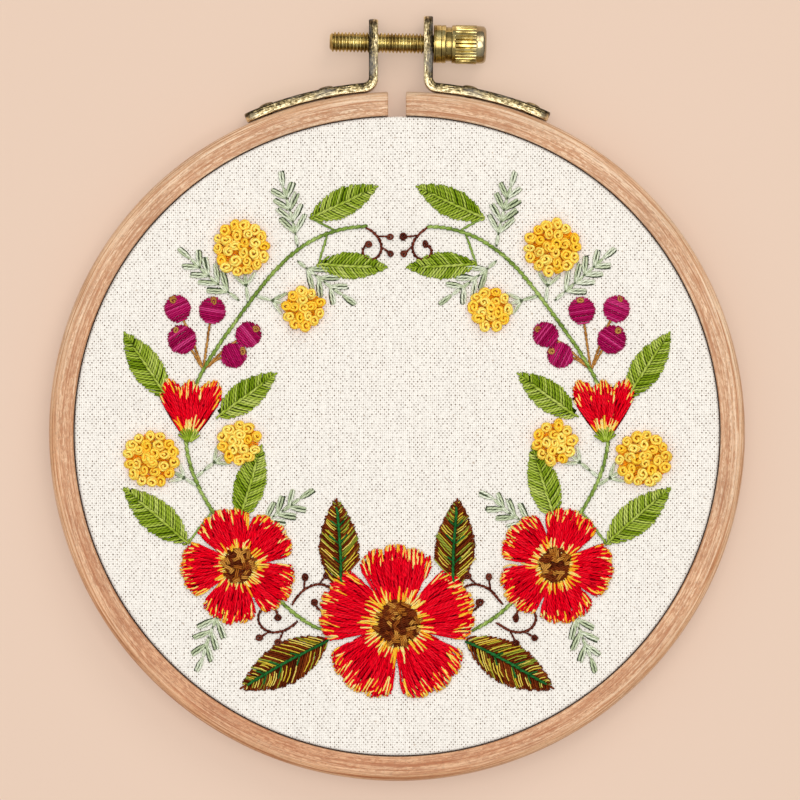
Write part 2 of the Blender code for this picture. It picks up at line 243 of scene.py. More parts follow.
def beechMaterial(name, light, mid, dark, roughness, faceStart=10.4, faceWidth=3.4, boreGapShade=0.9):
    # Beech, turned and sanded: short reddish flecks over the inner two thirds of the face, long pale
    # streaks and thin dark grain lines towards the outside, a little wax. UV is mm along the ring
    # and mm round its section, from the back of the bore; the face begins at faceStart.
    material, tree, shader = newMaterial(name, IOR=1.5, Roughness=roughness)
    uv = addNode(tree, "UVMap", uv_map="run")
    split = addNode(tree, "SeparateXYZ", {0: uv})
    over = ranged(tree, (split, 1), faceStart, faceStart + faceWidth)
    long = noise(tree, uv, (0.03, 2.1, 1), 5.0, 0.62, 0.4)
    fleck = noise(tree, uv, (0.62, 2.3, 1), 5.0, 0.62, 1.0)
    streak = noise(tree, uv, (0.07, 3.2, 1), 3.0, 0.62, 0.5)
    line = noise(tree, uv, (0.05, 3.3, 1), 4.0, 0.62, 0.6)
    patch = noise(tree, uv, (0.05, 0.16, 1), 2.0, 0.62)
    pore = noise(tree, uv, (1.3, 7.0, 1), 2.0, 0.62, 0.3)
    base = ramped(tree, long, (0.34, dark), (0.5, mid), (0.68, light))
    inward = ramped(tree, over, (0.0, 0.5), (0.12, 0.72), (0.7, 0.68), (1.0, 0.2))
    fleckAmount = maths(tree, "MULTIPLY", ramped(tree, fleck, (0.44, 0.0), (0.56, 1.0)), inward)
    flecked = blended(tree, fleckAmount, base, linear(dark))
    outward = ramped(tree, over, (0.4, 0.2), (0.85, 0.75))
    streakAmount = maths(tree, "MULTIPLY", ramped(tree, streak, (0.5, 0.0), (0.6, 1.0)), outward)
    pale = blended(tree, streakAmount, flecked, linear(light))
    lined = blended(tree, ramped(tree, line, (0.38, 0.75), (0.47, 0.0)), pale, linear(dark))
    pored = blended(tree, 1.0, lined, ramped(tree, pore, (0.33, 0.72), (0.46, 1.0)), "MULTIPLY")
    patched = blended(tree, 1.0, pored, ramped(tree, patch, (0.32, 0.88), (0.68, 1.04)), "MULTIPLY")
    # painted shade: darker and redder at the foot and on the left, paler towards the clamp at the top, where
    # the light falls
    place = addNode(tree, "TexCoord")
    upward = addNode(tree, "VectorMath", {0: (place, 3), 1: (0.4, 1.0, 0.0)}, operation="DOT_PRODUCT")
    paintedFootShade = ramped(tree, ranged(tree, (upward, 1), -0.076, 0.03), (0.0, "F4E0D0"), (0.4, "FBF1E8"),
                   (1.0, "FFFFFF"))
    toned = blended(tree, 1.0, patched, paintedFootShade, "MULTIPLY")
    # painted shade: a band of the bore, just above the cloth, is darkened to dark brown, where the gap
    # between cloth and ring lies in shadow
    below = ranged(tree, (split, 1), faceStart - 1.7, faceStart - 1.5, 0.0, boreGapShade)
    above = ranged(tree, (split, 1), faceStart - 0.25, faceStart - 0.45)
    boreGapShaded = blended(tree, maths(tree, "MULTIPLY", below, above), toned, linear("5A3420"))
    connect(tree, boreGapShaded, shader, "Base Color")
    addBump(tree, pore, 0.35, 0.00008, shader)
    return material


weave = {"warp": 0.41, "weft": 0.46}  # mm from one thread to the next


def clothMaterial():
    # Plain-weave unbleached cotton, warp threads along Y every 0.41 mm and weft every 0.46 mm: the
    # eye sees rows of small dark gaps at the crossings, every other one open, and a few seed specks.
    # The dark in the gaps is painted shade, and each thread is painted a little paler along its crown.
    # The gaps are drawn 0.3 mm across, wider than real ones, so that they show in the render. UV is
    # mm on the cloth as it lay flat.
    material, tree, shader = newMaterial("plain_weave_cotton", Roughness=0.92, Sheen_Weight=0.1, IOR=1.45)
    uv = addNode(tree, "UVMap", uv_map="run")
    wobble = addNode(tree, "TexNoise", {"Vector": uv, "Scale": 0.3, "Detail": 2.0})
    shifted = addNode(tree, "VectorMath", {0: (wobble, 1), 1: (0.5, 0.5, 0.5)}, operation="SUBTRACT")
    scaled = addNode(tree, "VectorMath", {0: shifted, "Scale": 0.3}, operation="SCALE")
    moved = addNode(tree, "VectorMath", {0: uv, 1: scaled}, operation="ADD")
    split = addNode(tree, "SeparateXYZ", {0: moved})
    waves, nearest, offsets = [], [], []
    for axis, pitch in ((0, weave["warp"]), (1, weave["weft"])):
        count = maths(tree, "MULTIPLY", (split, axis), 1 / pitch)
        nearest.append(maths(tree, "ROUND", count))
        offsets.append(maths(tree, "SUBTRACT", count, nearest[-1]))
        wave = maths(tree, "SINE", maths(tree, "MULTIPLY", count, math.pi))
        waves.append(maths(tree, "ABSOLUTE", wave))
    closed = maths(tree, "FLOORED_MODULO", maths(tree, "ADD", *nearest), 2.0)
    column = maths(tree, "FLOORED_MODULO", nearest[0], 2.0)
    crossing = addNode(tree, "CombineXYZ", {0: nearest[0], 1: nearest[1]})
    chance = addNode(tree, "TexWhiteNoise", {"Vector": crossing}, noise_dimensions="3D")
    offset = addNode(tree, "CombineXYZ", {0: offsets[0], 1: offsets[1]})
    away = addNode(tree, "VectorMath", {0: offset}, operation="LENGTH")
    gap = ranged(tree, (away, 1), 0.46, 0.16)
    depth = ranged(tree, chance, 0, 1, 0.12, 1.25)
    loose = maths(tree, "MULTIPLY", ranged(tree, closed, 0, 1, 1.0, 0.20),
                  ranged(tree, column, 0, 1, 1.05, 0.75))
    amount = maths(tree, "MULTIPLY", gap, maths(tree, "MULTIPLY", depth, loose), use_clamp=True)
    rows = addNode(tree, "Mix", {0: 0.4, 2: waves[0], 3: waves[1]}, data_type="FLOAT")
    # painted light: each thread a little paler along its crown
    thread = ramped(tree, rows, (0.2, "F7F1E5"), (0.7, "FFFCF5"))
    slubs = [noise(tree, uv, stretch, 1.0) for stretch in ((1.9, 0.09, 1), (0.09, 1.7, 1))]
    slub = addNode(tree, "Mix", {0: 0.35, 2: slubs[0], 3: slubs[1]}, data_type="FLOAT")
    tinted = blended(tree, 1.0, thread, ramped(tree, slub, (0.35, 0.94), (0.58, 1.0)), "MULTIPLY")
    # painted shade: dark brown in the open gaps at the crossings
    clothGapShaded = blended(tree, amount, tinted, linear("7E6A58"))
    specks = addNode(tree, "TexNoise", {"Vector": uv, "Scale": 1.3, "Detail": 0.0})
    specked = blended(tree, ramped(tree, specks, (0.80, 0.0), (0.85, 0.5)), clothGapShaded, linear("9A7A55"))
    connect(tree, specked, shader, "Base Color")
    addBump(tree, maths(tree, "SUBTRACT", rows, amount), 0.5, 0.00012, shader)
    return material


plyTurn = 1.1  # mm along a thread for one twist of its plies


def threadMaterial(name, stops, shine, deep):
    # Mercerised stranded cotton: a soft shine in the thread's own colour, since the light passes in
    # and out of many fibres, two plies twisted every 1.1 mm, and painted shade, the deep colour,
    # between the plies and on the flanks, where a stitch presses on the next. The tone attribute
    # picks a stitch's colour.
    # UV is mm along the stitch and the share of a turn round it.
    material, tree, shader = newMaterial(name, Roughness=0.42, IOR=1.5, Specular_IOR_Level=0.5,
                                         Specular_Tint=linear(shine))
    tone = addNode(tree, "Attribute", attribute_name="tone")
    colour = ramped(tree, (tone, 2), *stops)
    uv = addNode(tree, "UVMap", uv_map="run")
    split = addNode(tree, "SeparateXYZ", {0: uv})
    along = maths(tree, "MULTIPLY", (split, 0), 1 / plyTurn)
    turned = maths(tree, "MULTIPLY_ADD", (split, 1), 2.0, along)
    wave = maths(tree, "SINE", maths(tree, "MULTIPLY", turned, 2 * math.pi))
    groove = ranged(tree, wave, -1.0, 0.2, 0.45)
    crown = maths(tree, "SINE", maths(tree, "MULTIPLY_ADD", (split, 1), 2 * math.pi, math.pi / 6))
    lit = maths(tree, "MULTIPLY", groove, ranged(tree, crown, 0.3, 0.85))
    # painted shade: the deep colour multiplied in, in the ply grooves and on the flanks
    paintedShadeColour = blended(tree, 1.0, colour, linear(deep), "MULTIPLY")
    connect(tree, blended(tree, lit, paintedShadeColour, colour), shader, "Base Color")
    addBump(tree, wave, 0.7, 0.00006, shader)
    return material


def platedMaterial(name, edgeEvery=0.0, edgeWidth=0.0):
    # Rolled steel, dull yellow zinc plating. The narrow faces, cut by a shear, have long scratches
    # and small dents, with painted glints of pale gold on them and painted dark olive reflections
    # between, and are painted lighter across their width towards one side. The broad faces are
    # plainer, the ears, which are the first 9 mm along, duller, and all are greyer where the plating
    # has worn. UV is mm along and round: each edgeEvery mm round begins with edgeWidth mm of sheared
    # face. With none, a piece is plain all over, by its place in mm.
    material, tree, shader = newMaterial(name, Metallic=1.0)
    if edgeEvery:
        uv = addNode(tree, "UVMap", uv_map="run")
    else:
        place = addNode(tree, "TexCoord")
        uv = addNode(tree, "VectorMath", {0: (place, 3), "Scale": 1000.0}, operation="SCALE")
    scratch = noise(tree, uv, (0.5, 4.6, 1), 3.0, 0.6)
    dent = noise(tree, uv, (1.8, 1.9, 1), 2.0, 0.6)
    wear = noise(tree, uv, (0.16, 0.3, 1), 3.0, 0.6)
    marks = addNode(tree, "Mix", {0: 0.35, 2: scratch, 3: dent}, data_type="FLOAT")
    split = addNode(tree, "SeparateXYZ", {0: uv})
    over = maths(tree, "FLOORED_MODULO", (split, 1), edgeEvery)
    contrast = ranged(tree, over, edgeWidth - 0.2, edgeWidth, 1.0, 0.3)
    # painted light: lighter across the sheared face towards one side
    lean = ranged(tree, over, 0.4, 1.7, -0.62, -0.44)
    ears = ranged(tree, (split, 0), 9.0, 14.0, -0.04, 0.012)
    centred = maths(tree, "ADD", maths(tree, "ADD", marks, lean), ears)
    # painted glints and reflections: pale gold on the marks, dark olive between
    level = maths(tree, "MULTIPLY_ADD", centred, contrast, 0.53)
    colour = ramped(tree, level, (0.40, "2A241C"), (0.475, "766848"), (0.545, "BCA878"), (0.60, "FFF0C4"))
    greyed = blended(tree, ramped(tree, wear, (0.5, 0.0), (0.62, 0.5)), colour, linear("86817A"))
    connect(tree, greyed, shader, "Base Color")
    connect(tree, ranged(tree, wear, 0, 1, 0.2, 0.42), shader, "Roughness")
    addBump(tree, level, 0.8, 0.00035, shader)
    return material


def brassMaterial():
    # Turned brass, handled: pale yellow on the raised places, dull brown in the hollows, greyer at
    # the knob's end where it is rubbed, with fine turning lines.
    material, tree, shader = newMaterial("turned_brass", Metallic=1.0)
    place = addNode(tree, "TexCoord")
    tarnish = addNode(tree, "TexNoise", {"Vector": (place, 3), "Scale": 420.0, "Detail": 4.0})
    colour = ramped(tree, tarnish, (0.32, "8C7846"), (0.5, "B8A262"), (0.68, "E2D496"))
    edges = addNode(tree, "NewGeometry")
    hollow = ramped(tree, (edges, 7), (0.42, 0.3), (0.49, 0.85), (0.56, 1.3))
    deep = blended(tree, 1.0, colour, hollow, "MULTIPLY")
    split = addNode(tree, "SeparateXYZ", {0: (place, 3)})
    end = ranged(tree, (split, 0), 0.0148, 0.0168, 0.0, 0.75)
    connect(tree, blended(tree, end, deep, linear("ADA28C")), shader, "Base Color")
    connect(tree, ranged(tree, tarnish, 0, 1, 0.28, 0.15), shader, "Roughness")
    addBump(tree, noise(tree, (place, 3), (9000, 40, 40), 1.0), 0.25, 0.00002, shader)
    return material


# Camera, light and floor

photoView = {"width": 157.0, "distance": 1400.0, "centre": (0.59, -0.35), "sensor": 36.0}
studio = {
    "floor": "E8CEBA",
    "glow": 0.40,
    "horizon": 0.20,
    "zenith": 0.60,
    "softBoxes": (  # name, place, size, power, colour
        ("keySoftBox", (0.40, 0.75, 0.95), 0.6, 3.0, "FFF8F0"),
        ("fillSoftBox", (-0.8, -0.2, 0.9), 1.2, 1.7, "F4F6FF"),
        ("overheadSoftBox", (0.04, 0.02, 1.15), 0.7, 5.6, "FFFCF8"),
    ),
}


def setCamera():
    # straight down on the stitched face, so that the frame is 157 mm wide at the face
    data = bpy.data.cameras.new("camera")
    data.sensor_width = photoView["sensor"]
    data.lens = photoView["sensor"] * photoView["distance"] / photoView["width"]
    camera = bpy.data.objects.new("camera", data)
    x, y = photoView["centre"]
    camera.location = (x / 1000, y / 1000, (photoView["distance"] + ringDepth) / 1000)
    bpy.context.scene.collection.objects.link(camera)
    bpy.context.scene.camera = camera


def areaLight(name, place, size, power, colour):
    # a square soft box that faces the hoop's centre
    data = bpy.data.lights.new(name, "AREA")
    data.size = size
    data.energy = power
    data.color = linear(colour)[:3]
    light = bpy.data.objects.new(name, data)
    light.location = place
    light.rotation_euler = (-light.location).to_track_quat("-Z", "Y").to_euler()
    bpy.context.scene.collection.objects.link(light)


def setStudio():
    bpy.context.scene.view_settings.view_transform = "Standard"  # plain product-photo contrast
    world = bpy.data.worlds.new("studio")
    bpy.context.scene.world = world
    world.use_nodes = True
    tree = world.node_tree
    background = tree.nodes["Background"]
    background.inputs["Color"].default_value = linear("FFFCFA")
    split = addNode(tree, "SeparateXYZ", {0: addNode(tree, "TexCoord")})
    level = ranged(tree, (split, 2), 0.0, 0.9, studio["horizon"], studio["zenith"])
    connect(tree, level, background, "Strength")
    for softBox in studio["softBoxes"]:
        areaLight(*softBox)

    # a tinted board lit from below as well, so that the shadows on it stay faint
    tint, glow = linear(studio["floor"]), studio["glow"]
    material = newMaterial("lit_backdrop_board", Roughness=0.9, Specular_IOR_Level=0.1,
                           Base_Color=(*(c * (1 - glow) for c in tint[:3]), 1.0),
                           Emission_Color=tint, Emission_Strength=glow)[0]
    mesh = bpy.data.meshes.new("floor")
    mesh.from_pydata([(-2, -2, 0), (2, -2, 0), (2, 2, 0), (-2, 2, 0)], [], [(0, 1, 2, 3)])
    mesh.materials.append(material)
    floor = bpy.data.objects.new("floor", mesh)
    bpy.context.scene.collection.objects.link(floor)


# The two rings

def roundedSection(low, high, top, outerRound, innerRound, arcSteps):
    # closed section (radius, height): up the bore, over the face, down the outside; corners are arcs
    corners = (
        ((low + innerRound, innerRound), innerRound, -90, -180),
        ((low + innerRound, top - innerRound), innerRound, 180, 90),
        ((high - outerRound, top - outerRound), outerRound, 90, 0),
        ((high - outerRound, outerRound), outerRound, 0, -90),
    )
    return np.concatenate([np.array(centre) + size * unit(np.radians(np.linspace(first, last, arcSteps)))
                           for centre, size, first, last in corners])


def sectionLength(section):
    # running length round a closed section, one more value than it has points
    return runningLength(np.concatenate((section, section[:1])))


def carriedRound(section, steps):
    # x and y of each point of the section all the way round the drawn-in hoop, and the angles
    angle = evenAngles(steps)[:, None]
    wide = section[:, 0] * hoopScale(angle)
    return wide * np.cos(angle), wide * np.sin(angle), angle


def splitRing(material):
    # the section carried round from one side of the split to the other; each point stops at the
    # split's plane, at angle arcsin(half width / radius), and the last 0.3 mm is drawn in as a worn
    # edge
    section = roundedSection(hoopShape["bore"], ringRadius, ringDepth, 1.5, 0.4, 7)
    edge = 0.3 / (2 * math.pi * ringRadius)
    share = np.linspace(0, 1, 640)[2:-2]
    share = np.concatenate(([0, edge * 0.3, edge], share, [1 - edge, 1 - edge * 0.3, 1]))[:, None]
    inset = np.ones_like(share)
    inset[[0, -1]] = 0.93
    inset[[1, -2]] = 0.975
    middle = section.mean(0)
    r = middle[0] + (section[:, 0] - middle[0]) * inset
    z = middle[1] + (section[:, 1] - middle[1]) * (1 - (1 - inset) * 0.5)
    stop = np.arcsin(hoopShape["splitHalf"] / (r * hoopScale(math.pi / 2)))
    angle = math.pi / 2 + stop + share * (2 * math.pi - 2 * stop)
    wide = r * hoopScale(angle)
    grid = np.stack((wide * np.cos(angle), wide * np.sin(angle), z), -1)
    along = share[:, 0] * 2 * math.pi * ringRadius
    piece = sweptPiece("split_beech_ring", grid, along, sectionLength(section), material, "hoop",
                       endGrain=30)
    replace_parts(piece, "outer_ring")


def closedRing(material):
    # the plain ring inside the cloth: one section carried all the way round
    outer, steps = hoopShape["innerRingOuter"], 420
    bore = outer - hoopShape["innerRingWall"]
    section = roundedSection(bore, outer, hoopShape["innerRingTop"], 0.5, 0.5, 4)
    x, y, _ = carriedRound(section, steps)
    grid = np.stack((x, y, np.broadcast_to(section[:, 1], x.shape)), -1)
    along = np.arange(steps + 1) / steps * 2 * math.pi * outer
    piece = sweptPiece("closed_beech_ring", grid, along, sectionLength(section), material, "hoop",
                       closed=True)
    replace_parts(piece, "inner_ring")


# The clamp

clamp = {
    "thickness": 1.8,
    "halfWidth": 4.0,
    "corner": 2.2,  # rounding of the strip's ends
    "edgeRound": 0.32,
    "shearedFace": 2.16,  # round the section, each with its two rounded edges
    "broadFace": 7.36,
    "bend": 1.9,
    "clearance": 0.3,
    "reach": math.radians(25.7),  # how far each strip follows the ring
    "holeRadius": 2.25,
    "ears": {
        "left": {"x": -4.63, "top": 81.4, "side": -1, "rivets": (11.7, 21.8)},
        "right": {"x": 6.18, "top": 82.0, "side": 1, "rivets": (12.0, 22.6)},
    },
}


def stripLine(ear):
    # down the ear, round the bend, then along the ring's outside at half a thickness from it
    side, bend = ear["side"], clamp["bend"]
    away = clamp["thickness"] / 2 + clamp["clearance"]

    def onRing(fromTop):
        angle = math.pi / 2 - side * np.asarray(fromTop)
        return (ringRadius * hoopScale(angle) + away)[..., None] * unit(angle)

    foot = math.asin(abs(ear["x"]) / (ringRadius + away))
    reach = bend * math.tan((math.pi / 2 - foot) / 2)
    start = foot + reach / ringRadius
    bendStart = np.array((ear["x"], onRing(foot)[1] + reach))
    centre = bendStart + (side * bend, 0)
    toEnd = onRing(start) - centre
    first = math.pi if side > 0 else 0.0
    turn = (math.atan2(toEnd[1], toEnd[0]) - first + math.pi) % (2 * math.pi) - math.pi
    ending = clamp["corner"] * (1 - np.cos(np.linspace(0, math.pi / 2, 9)))
    earEnd = np.stack((np.full(9, ear["x"]), ear["top"] - ending), 1)
    earRun = np.linspace(earEnd[-1], bendStart, 8)[1:-1]
    bendRun = centre + bend * unit(first + turn * np.linspace(0, 1, 12)[:-1])
    ringRun = onRing(np.linspace(start, clamp["reach"] - ending[-1] / ringRadius, 40))
    ringEnd = onRing(clamp["reach"] - ending[-2::-1] / ringRadius)
    return np.concatenate((earEnd, earRun, bendRun, ringRun, ringEnd))


def clampStrip(name, ear, material):
    # a flat bar on its line: the section is a rounded rectangle, thickness across the line and
    # width along Z, and the width follows a quarter circle at both ends
    line = stripLine(ear)
    length = runningLength(line)
    toEnd = np.minimum(length, length[-1] - length)
    inset = clamp["corner"] - np.clip(toEnd, 0, clamp["corner"])
    half = clamp["halfWidth"] - clamp["corner"] + np.sqrt(clamp["corner"] ** 2 - inset ** 2)
    thin = clamp["thickness"] / 2 * np.where(toEnd < 0.05, 0.72, 1.0)
    tangent = np.gradient(line, axis=0)
    tangent /= np.hypot(*tangent.T)[:, None]
    normal = np.stack((-tangent[:, 1], tangent[:, 0]), 1)
    corners = np.repeat(((1, 1), (-1, 1), (-1, -1), (1, -1)), 4, axis=0)
    turn = np.radians(np.linspace(0, 90, 4)) + np.radians(np.arange(4) * 90)[:, None]
    across, up = (clamp["edgeRound"] * (unit(turn.ravel()) - corners)).T
    offset = thin[:, None] * corners[:, 0] + across
    height = ringDepth / 2 + half[:, None] * corners[:, 1] + up
    grid = np.concatenate((line[:, None] + normal[:, None] * offset[..., None], height[..., None]), -1)
    middle = len(line) // 2  # where the section is whole
    around = sectionLength(np.stack((offset[middle], height[middle]), 1)[::-1])
    if ear["side"] > 0:  # the painted lighter side is the ring's on both strips
        around = around[-1] + clamp["shearedFace"] - around
    strip = sweptPiece(name + "_strip", grid[:, ::-1], length, around, material, "hoop")
    drillHole(strip, ear)
    strip.data.shade_smooth()
    strip.data.set_sharp_from_angle(angle=math.radians(40))
    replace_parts(strip, name)


def drillHole(strip, ear):
    # an exact cut by a cylinder on the screw's axis, applied at once
    axis, origin = np.array(turnJoint["axis"]), np.array(turnJoint["pos_m"])
    at = origin + axis * (ear["x"] / 1000 / axis[0])
    bpy.ops.mesh.primitive_cylinder_add(vertices=40, radius=clamp["holeRadius"] / 1000,
                                        depth=3 * clamp["thickness"] / 1000, location=at,
                                        rotation=(0, math.pi / 2, math.atan2(axis[1], axis[0])))
    drill = bpy.context.object
    cut = strip.modifiers.new("hole", "BOOLEAN")
    cut.object = drill
    cut.operation = "DIFFERENCE"
    bpy.context.view_layer.update()
    drilled = bpy.data.meshes.new_from_object(strip.evaluated_get(bpy.context.evaluated_depsgraph_get()))
    strip.modifiers.clear()
    strip.data = drilled
    bpy.data.objects.remove(drill)


def turned(distance, radius, steps, origin, direction):
    # point = origin + direction * distance + radius * (cos * level + sin * upright), the last two
    # square to the direction; distance is (rows, 1), and radius that or (rows, steps)
    turn = evenAngles(steps)
    level = np.array((-direction[1], direction[0], 0.0))
    upright = np.array((0, 0, 1.0))
    return (origin + distance[..., None] * direction + (radius * np.cos(turn))[..., None] * level
            + (radius * np.sin(turn))[..., None] * upright)


def rivets(name, ear, material):
    # a low dome with a rounded rim, seated on the strip, its shank hidden in the wood
    seat = clamp["clearance"] + clamp["thickness"] - 0.02
    bow = np.linspace(0, math.pi / 2, 9)
    dome = np.stack((1.5 * np.sin(bow), seat + 0.12 + 0.42 * np.cos(bow)), 1)
    dome[0, 0] = 0.01
    profile = np.concatenate((dome, ((1.5, seat), (0.6, seat), (0.6, -2.6), (0.01, -2.7))))[::-1]
    for number, fromTop in enumerate(ear["rivets"], start=1):
        angle = math.pi / 2 - ear["side"] * math.radians(fromTop)
        direction = np.array((math.cos(angle), math.sin(angle), 0.0))
        origin = direction * ringRadius * hoopScale(angle) + (0, 0, ringDepth / 2)
        grid = turned(profile[:, 1:], profile[:, :1], 28, origin, direction)
        piece = sweptPiece(f"{name}_{number}_head", grid, runningLength(profile), np.linspace(0, 9.4, 29),
                           material, "hoop")
        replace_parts(piece, f"{name}_{number}")


screwShape = {
    "crest": 2.0,
    "root": 1.62,
    "pitch": 0.7,
    "start": -13.25,
    "head": 7.2,  # where the knob begins
    "headRadius": 3.82,
    "ridges": 30,
    "ridgeDepth": 0.26,
}


def screwPieces(material):
    # thread: radius = root + depth * a rounded triangle wave of (distance / pitch - turn), so the
    # crest climbs one pitch each turn; knob: a profile with rings, a groove and straight ridges
    direction = np.array(turnJoint["axis"])
    origin = np.array(turnJoint["pos_m"]) * 1000 - (0, centreY, 0)
    s, steps = screwShape, 36
    distance = np.arange(s["start"], s["head"] + 0.3, s["pitch"] / 12)[:, None]
    phase = (distance / s["pitch"] - evenAngles(steps) / (2 * math.pi)) % 1
    wave = smoothStep(0.1, 0.9, 1 - np.abs(2 * phase - 1))
    radius = np.minimum(s["root"] + (s["crest"] - s["root"]) * wave, 1.35 + (distance - s["start"]) * 1.1)
    grid = turned(distance, radius, steps, origin, direction)
    rod = sweptPiece("threaded_rod", grid, distance[:, 0], np.linspace(0, 12.5, steps + 1), material, "screw")

    head, big = s["head"], s["headRadius"]
    land, waist = big - 0.06, big - 0.42
    profile = np.array([  # radius, distance from where the knob begins
        (0.02, 0), (big - 0.35, 0), (land - 0.08, 0.05), (land, 0.18), (land, 0.36), (land - 0.14, 0.44),
        (land, 0.52), (land, 1.48), (land - 0.14, 1.58), (land, 1.68), (land, 2.3), (land - 0.08, 2.42),
        (waist, 2.5), (waist, 3.52), (land - 0.08, 3.6), (land, 3.72), (land, 4.3), (big, 4.4),
        (big, 8.4), (land - 0.02, 8.5), (land - 0.06, 9.4), (land - 0.14, 9.85), (land - 0.42, 10.2),
        (land - 0.95, 10.38), (2.4, 10.42), (0.02, 10.42),
    ])
    fine = [np.linspace(a, b, 4)[:-1] for a, b in zip(profile[:-1], profile[1:])]
    fine = np.concatenate(fine + [profile[-1:]])
    width, distance = fine[:, :1], fine[:, 1:]
    sides = s["ridges"] * 8
    phase = np.arange(sides) % 8 / 8
    dip = s["ridgeDepth"] * (1 - smoothStep(0.0, 0.5, np.abs(2 * phase - 1)))
    ridged = smoothStep(4.28, 4.45, distance) * (1 - smoothStep(8.3, 8.5, distance))
    grid = turned(head + distance, np.maximum(width - ridged * dip, 0.02), sides, origin, direction)
    knob = sweptPiece("knurled_knob", grid, head + distance[:, 0], np.linspace(0, 24, sides + 1), material,
                      "screw")
    for piece in (rod, knob):
        piece.data.set_sharp_from_angle(angle=math.radians(38))
    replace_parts(rod, "clamp_screw")
    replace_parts(knob, "clamp_screw")


# The cloth

clothCut = {"edge": 63.36, "fold": 0.55, "hem": 0.4, "thickness": 0.5}


def stretchedCloth(material):
    # a polar grid: flat over the inner ring, over its edge on a quarter circle, then a skirt down
    # between the rings; its wall is a second layer inside the first. The height ripples by sines of
    # under 0.05 mm, dying out towards the rim.
    edge, fold, thickness = clothCut["edge"], clothCut["fold"], clothCut["thickness"]
    turn = np.linspace(0, math.pi / 2, 6)
    rings = np.linspace(0.3, edge - fold - 0.5, 58)
    outer = np.concatenate((
        np.stack((rings, np.full(len(rings), clothFace)), 1),
        np.stack((edge - fold + fold * np.sin(turn), clothFace - fold + fold * np.cos(turn)), 1),
        np.stack((np.full(5, edge - 0.12), np.linspace(clothFace - fold - 1, clothCut["hem"], 5)), 1),
    ))
    inner = outer[::-1].copy()
    inwards = thickness * smoothStep(clothFace, clothFace - fold, inner[:, 1])
    inner[:, 0] = np.maximum(inner[:, 0] - inwards, 0.3)
    inner[:, 1] -= thickness * smoothStep(clothFace - 1.6, clothFace - fold * 0.6, inner[:, 1])
    section = np.concatenate((outer, inner))
    steps, count = 288, len(section)
    x, y, angle = carriedRound(section, steps)
    ripple = 0.03 * np.sin(x / 5.1 + 1.3) * np.sin(y / 6.3) + 0.015 * np.sin(x / 2.3 + y / 3.1)
    z = section[:, 1] + ripple * (1 - smoothStep(50, 60, section[:, 0]))
    # UV: the running length over the front, laid out flat in each direction; the back has the same
    run = outer[0, 0] + runningLength(outer)
    run = np.concatenate((run, run[::-1]))
    flat = np.minimum(run, edge - fold) * hoopScale(angle) + np.maximum(run - edge + fold, 0)
    laid = np.stack((flat * np.cos(angle), flat * np.sin(angle)), -1).reshape(-1, 2)
    laid = np.concatenate((laid, np.zeros((2, 2))))
    quads = gridFaces(steps, count, True, False)[0]
    front = np.arange(steps) * count
    following = np.roll(front, -1)
    middle = steps * count  # one closing point at the front, one at the back
    caps = np.concatenate((
        np.stack((front, following, np.full(steps, middle)), 1),
        np.stack((following + count - 1, front + count - 1, np.full(steps, middle + 1)), 1),
    ))
    points = np.concatenate((np.stack((x, y, z), -1).reshape(-1, 3),
                             ((0, 0, z[:, 0].mean()), (0, 0, z[:, -1].mean()))))
    piece = makePiece("stretched_cotton", points, [quads, caps], material, "hoop",
                      [laid[quads], laid[caps]])
    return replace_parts(piece, "cloth")


# Stitches. Each is a short tube that comes up out of the cloth, runs and goes down again.

sewing = {}  # group name to its list of (points, poles, tones, run lengths)
stitchSides = 6
linePoints = 200


def addTubes(group, line, side, up, halfWidth, halfHeight, tone):
    # line, side, up: (count, rings, 3); half sizes (count, rings). Points = line + side * cos * half
    # width + up * sin * half height
    turn = evenAngles(stitchSides) + math.pi / 6
    points = (line[:, :, None]
              + side[:, :, None] * (halfWidth[..., None] * np.cos(turn))[..., None]
              + up[:, :, None] * (halfHeight[..., None] * np.sin(turn))[..., None])
    step = np.linalg.norm(np.diff(line, axis=1), axis=2)
    run = np.concatenate((np.zeros((len(line), 1)), np.cumsum(step, axis=1)), 1)
    sewing.setdefault(group, []).append((points, line[:, [0, -1]], np.broadcast_to(tone, len(line)), run))


def runStitches(group, start, stop, tone, width=0.44, height=0.36, lift=0.0, puff=0.0, bow=0.0, dip=0.22,
                point=0.34):
    # straight stitches from start to stop, both (count, 2): the middle line rises from dip below
    # the lift to half a thread above it, plus puff in the middle; bow pushes the middle sideways,
    # and the thread reaches its full width point mm from its ends. No two neighbours lie quite level.
    start, stop = np.atleast_2d(start).astype(float), np.atleast_2d(stop).astype(float)
    run = stop - start
    length = np.maximum(np.hypot(run[:, 0], run[:, 1]), 1e-3)[:, None]
    ahead = run / length
    beside = np.stack((-ahead[:, 1], ahead[:, 0]), 1)
    first = np.minimum(0.1 / length, 0.1)
    second = np.minimum(point / length, 0.27 if point < 0.5 else 0.4)
    zero = first * 0
    share = np.concatenate((zero, first, second, zero + 0.5, 1 - second, 1 - first, zero + 1), 1)
    width, height, lift, puff, bow = (np.broadcast_to(np.asarray(value, float), len(start))[:, None]
                                      for value in (width, height, lift, puff, bow))
    uneven = 0.035 * np.sin(np.arange(len(start)) * 2.4)[:, None]
    rise = np.array((-1.0, 0.15, 0.9, 1.0, 0.9, 0.15, -1.0))
    z = clothFace + lift + np.where(rise < 0, -dip, rise * height / 2 + uneven)
    z = z + puff * 4 * share * (1 - share)
    xy = start[:, None] + run[:, None] * share[..., None]
    xy = xy + beside[:, None] * (bow * 4 * share * (1 - share))[..., None]
    line = np.concatenate((xy, z[..., None]), -1)
    fat = np.array((0.4, 0.8, 1.0, 1.0, 1.0, 0.8, 0.4))
    side = np.broadcast_to(np.concatenate((beside, np.zeros((len(start), 1))), 1)[:, None], line.shape)
    up = np.broadcast_to(np.array((0, 0, 1.0)), line.shape)
    addTubes(group, line, side, up, width / 2 * fat, height / 2 * fat, tone)


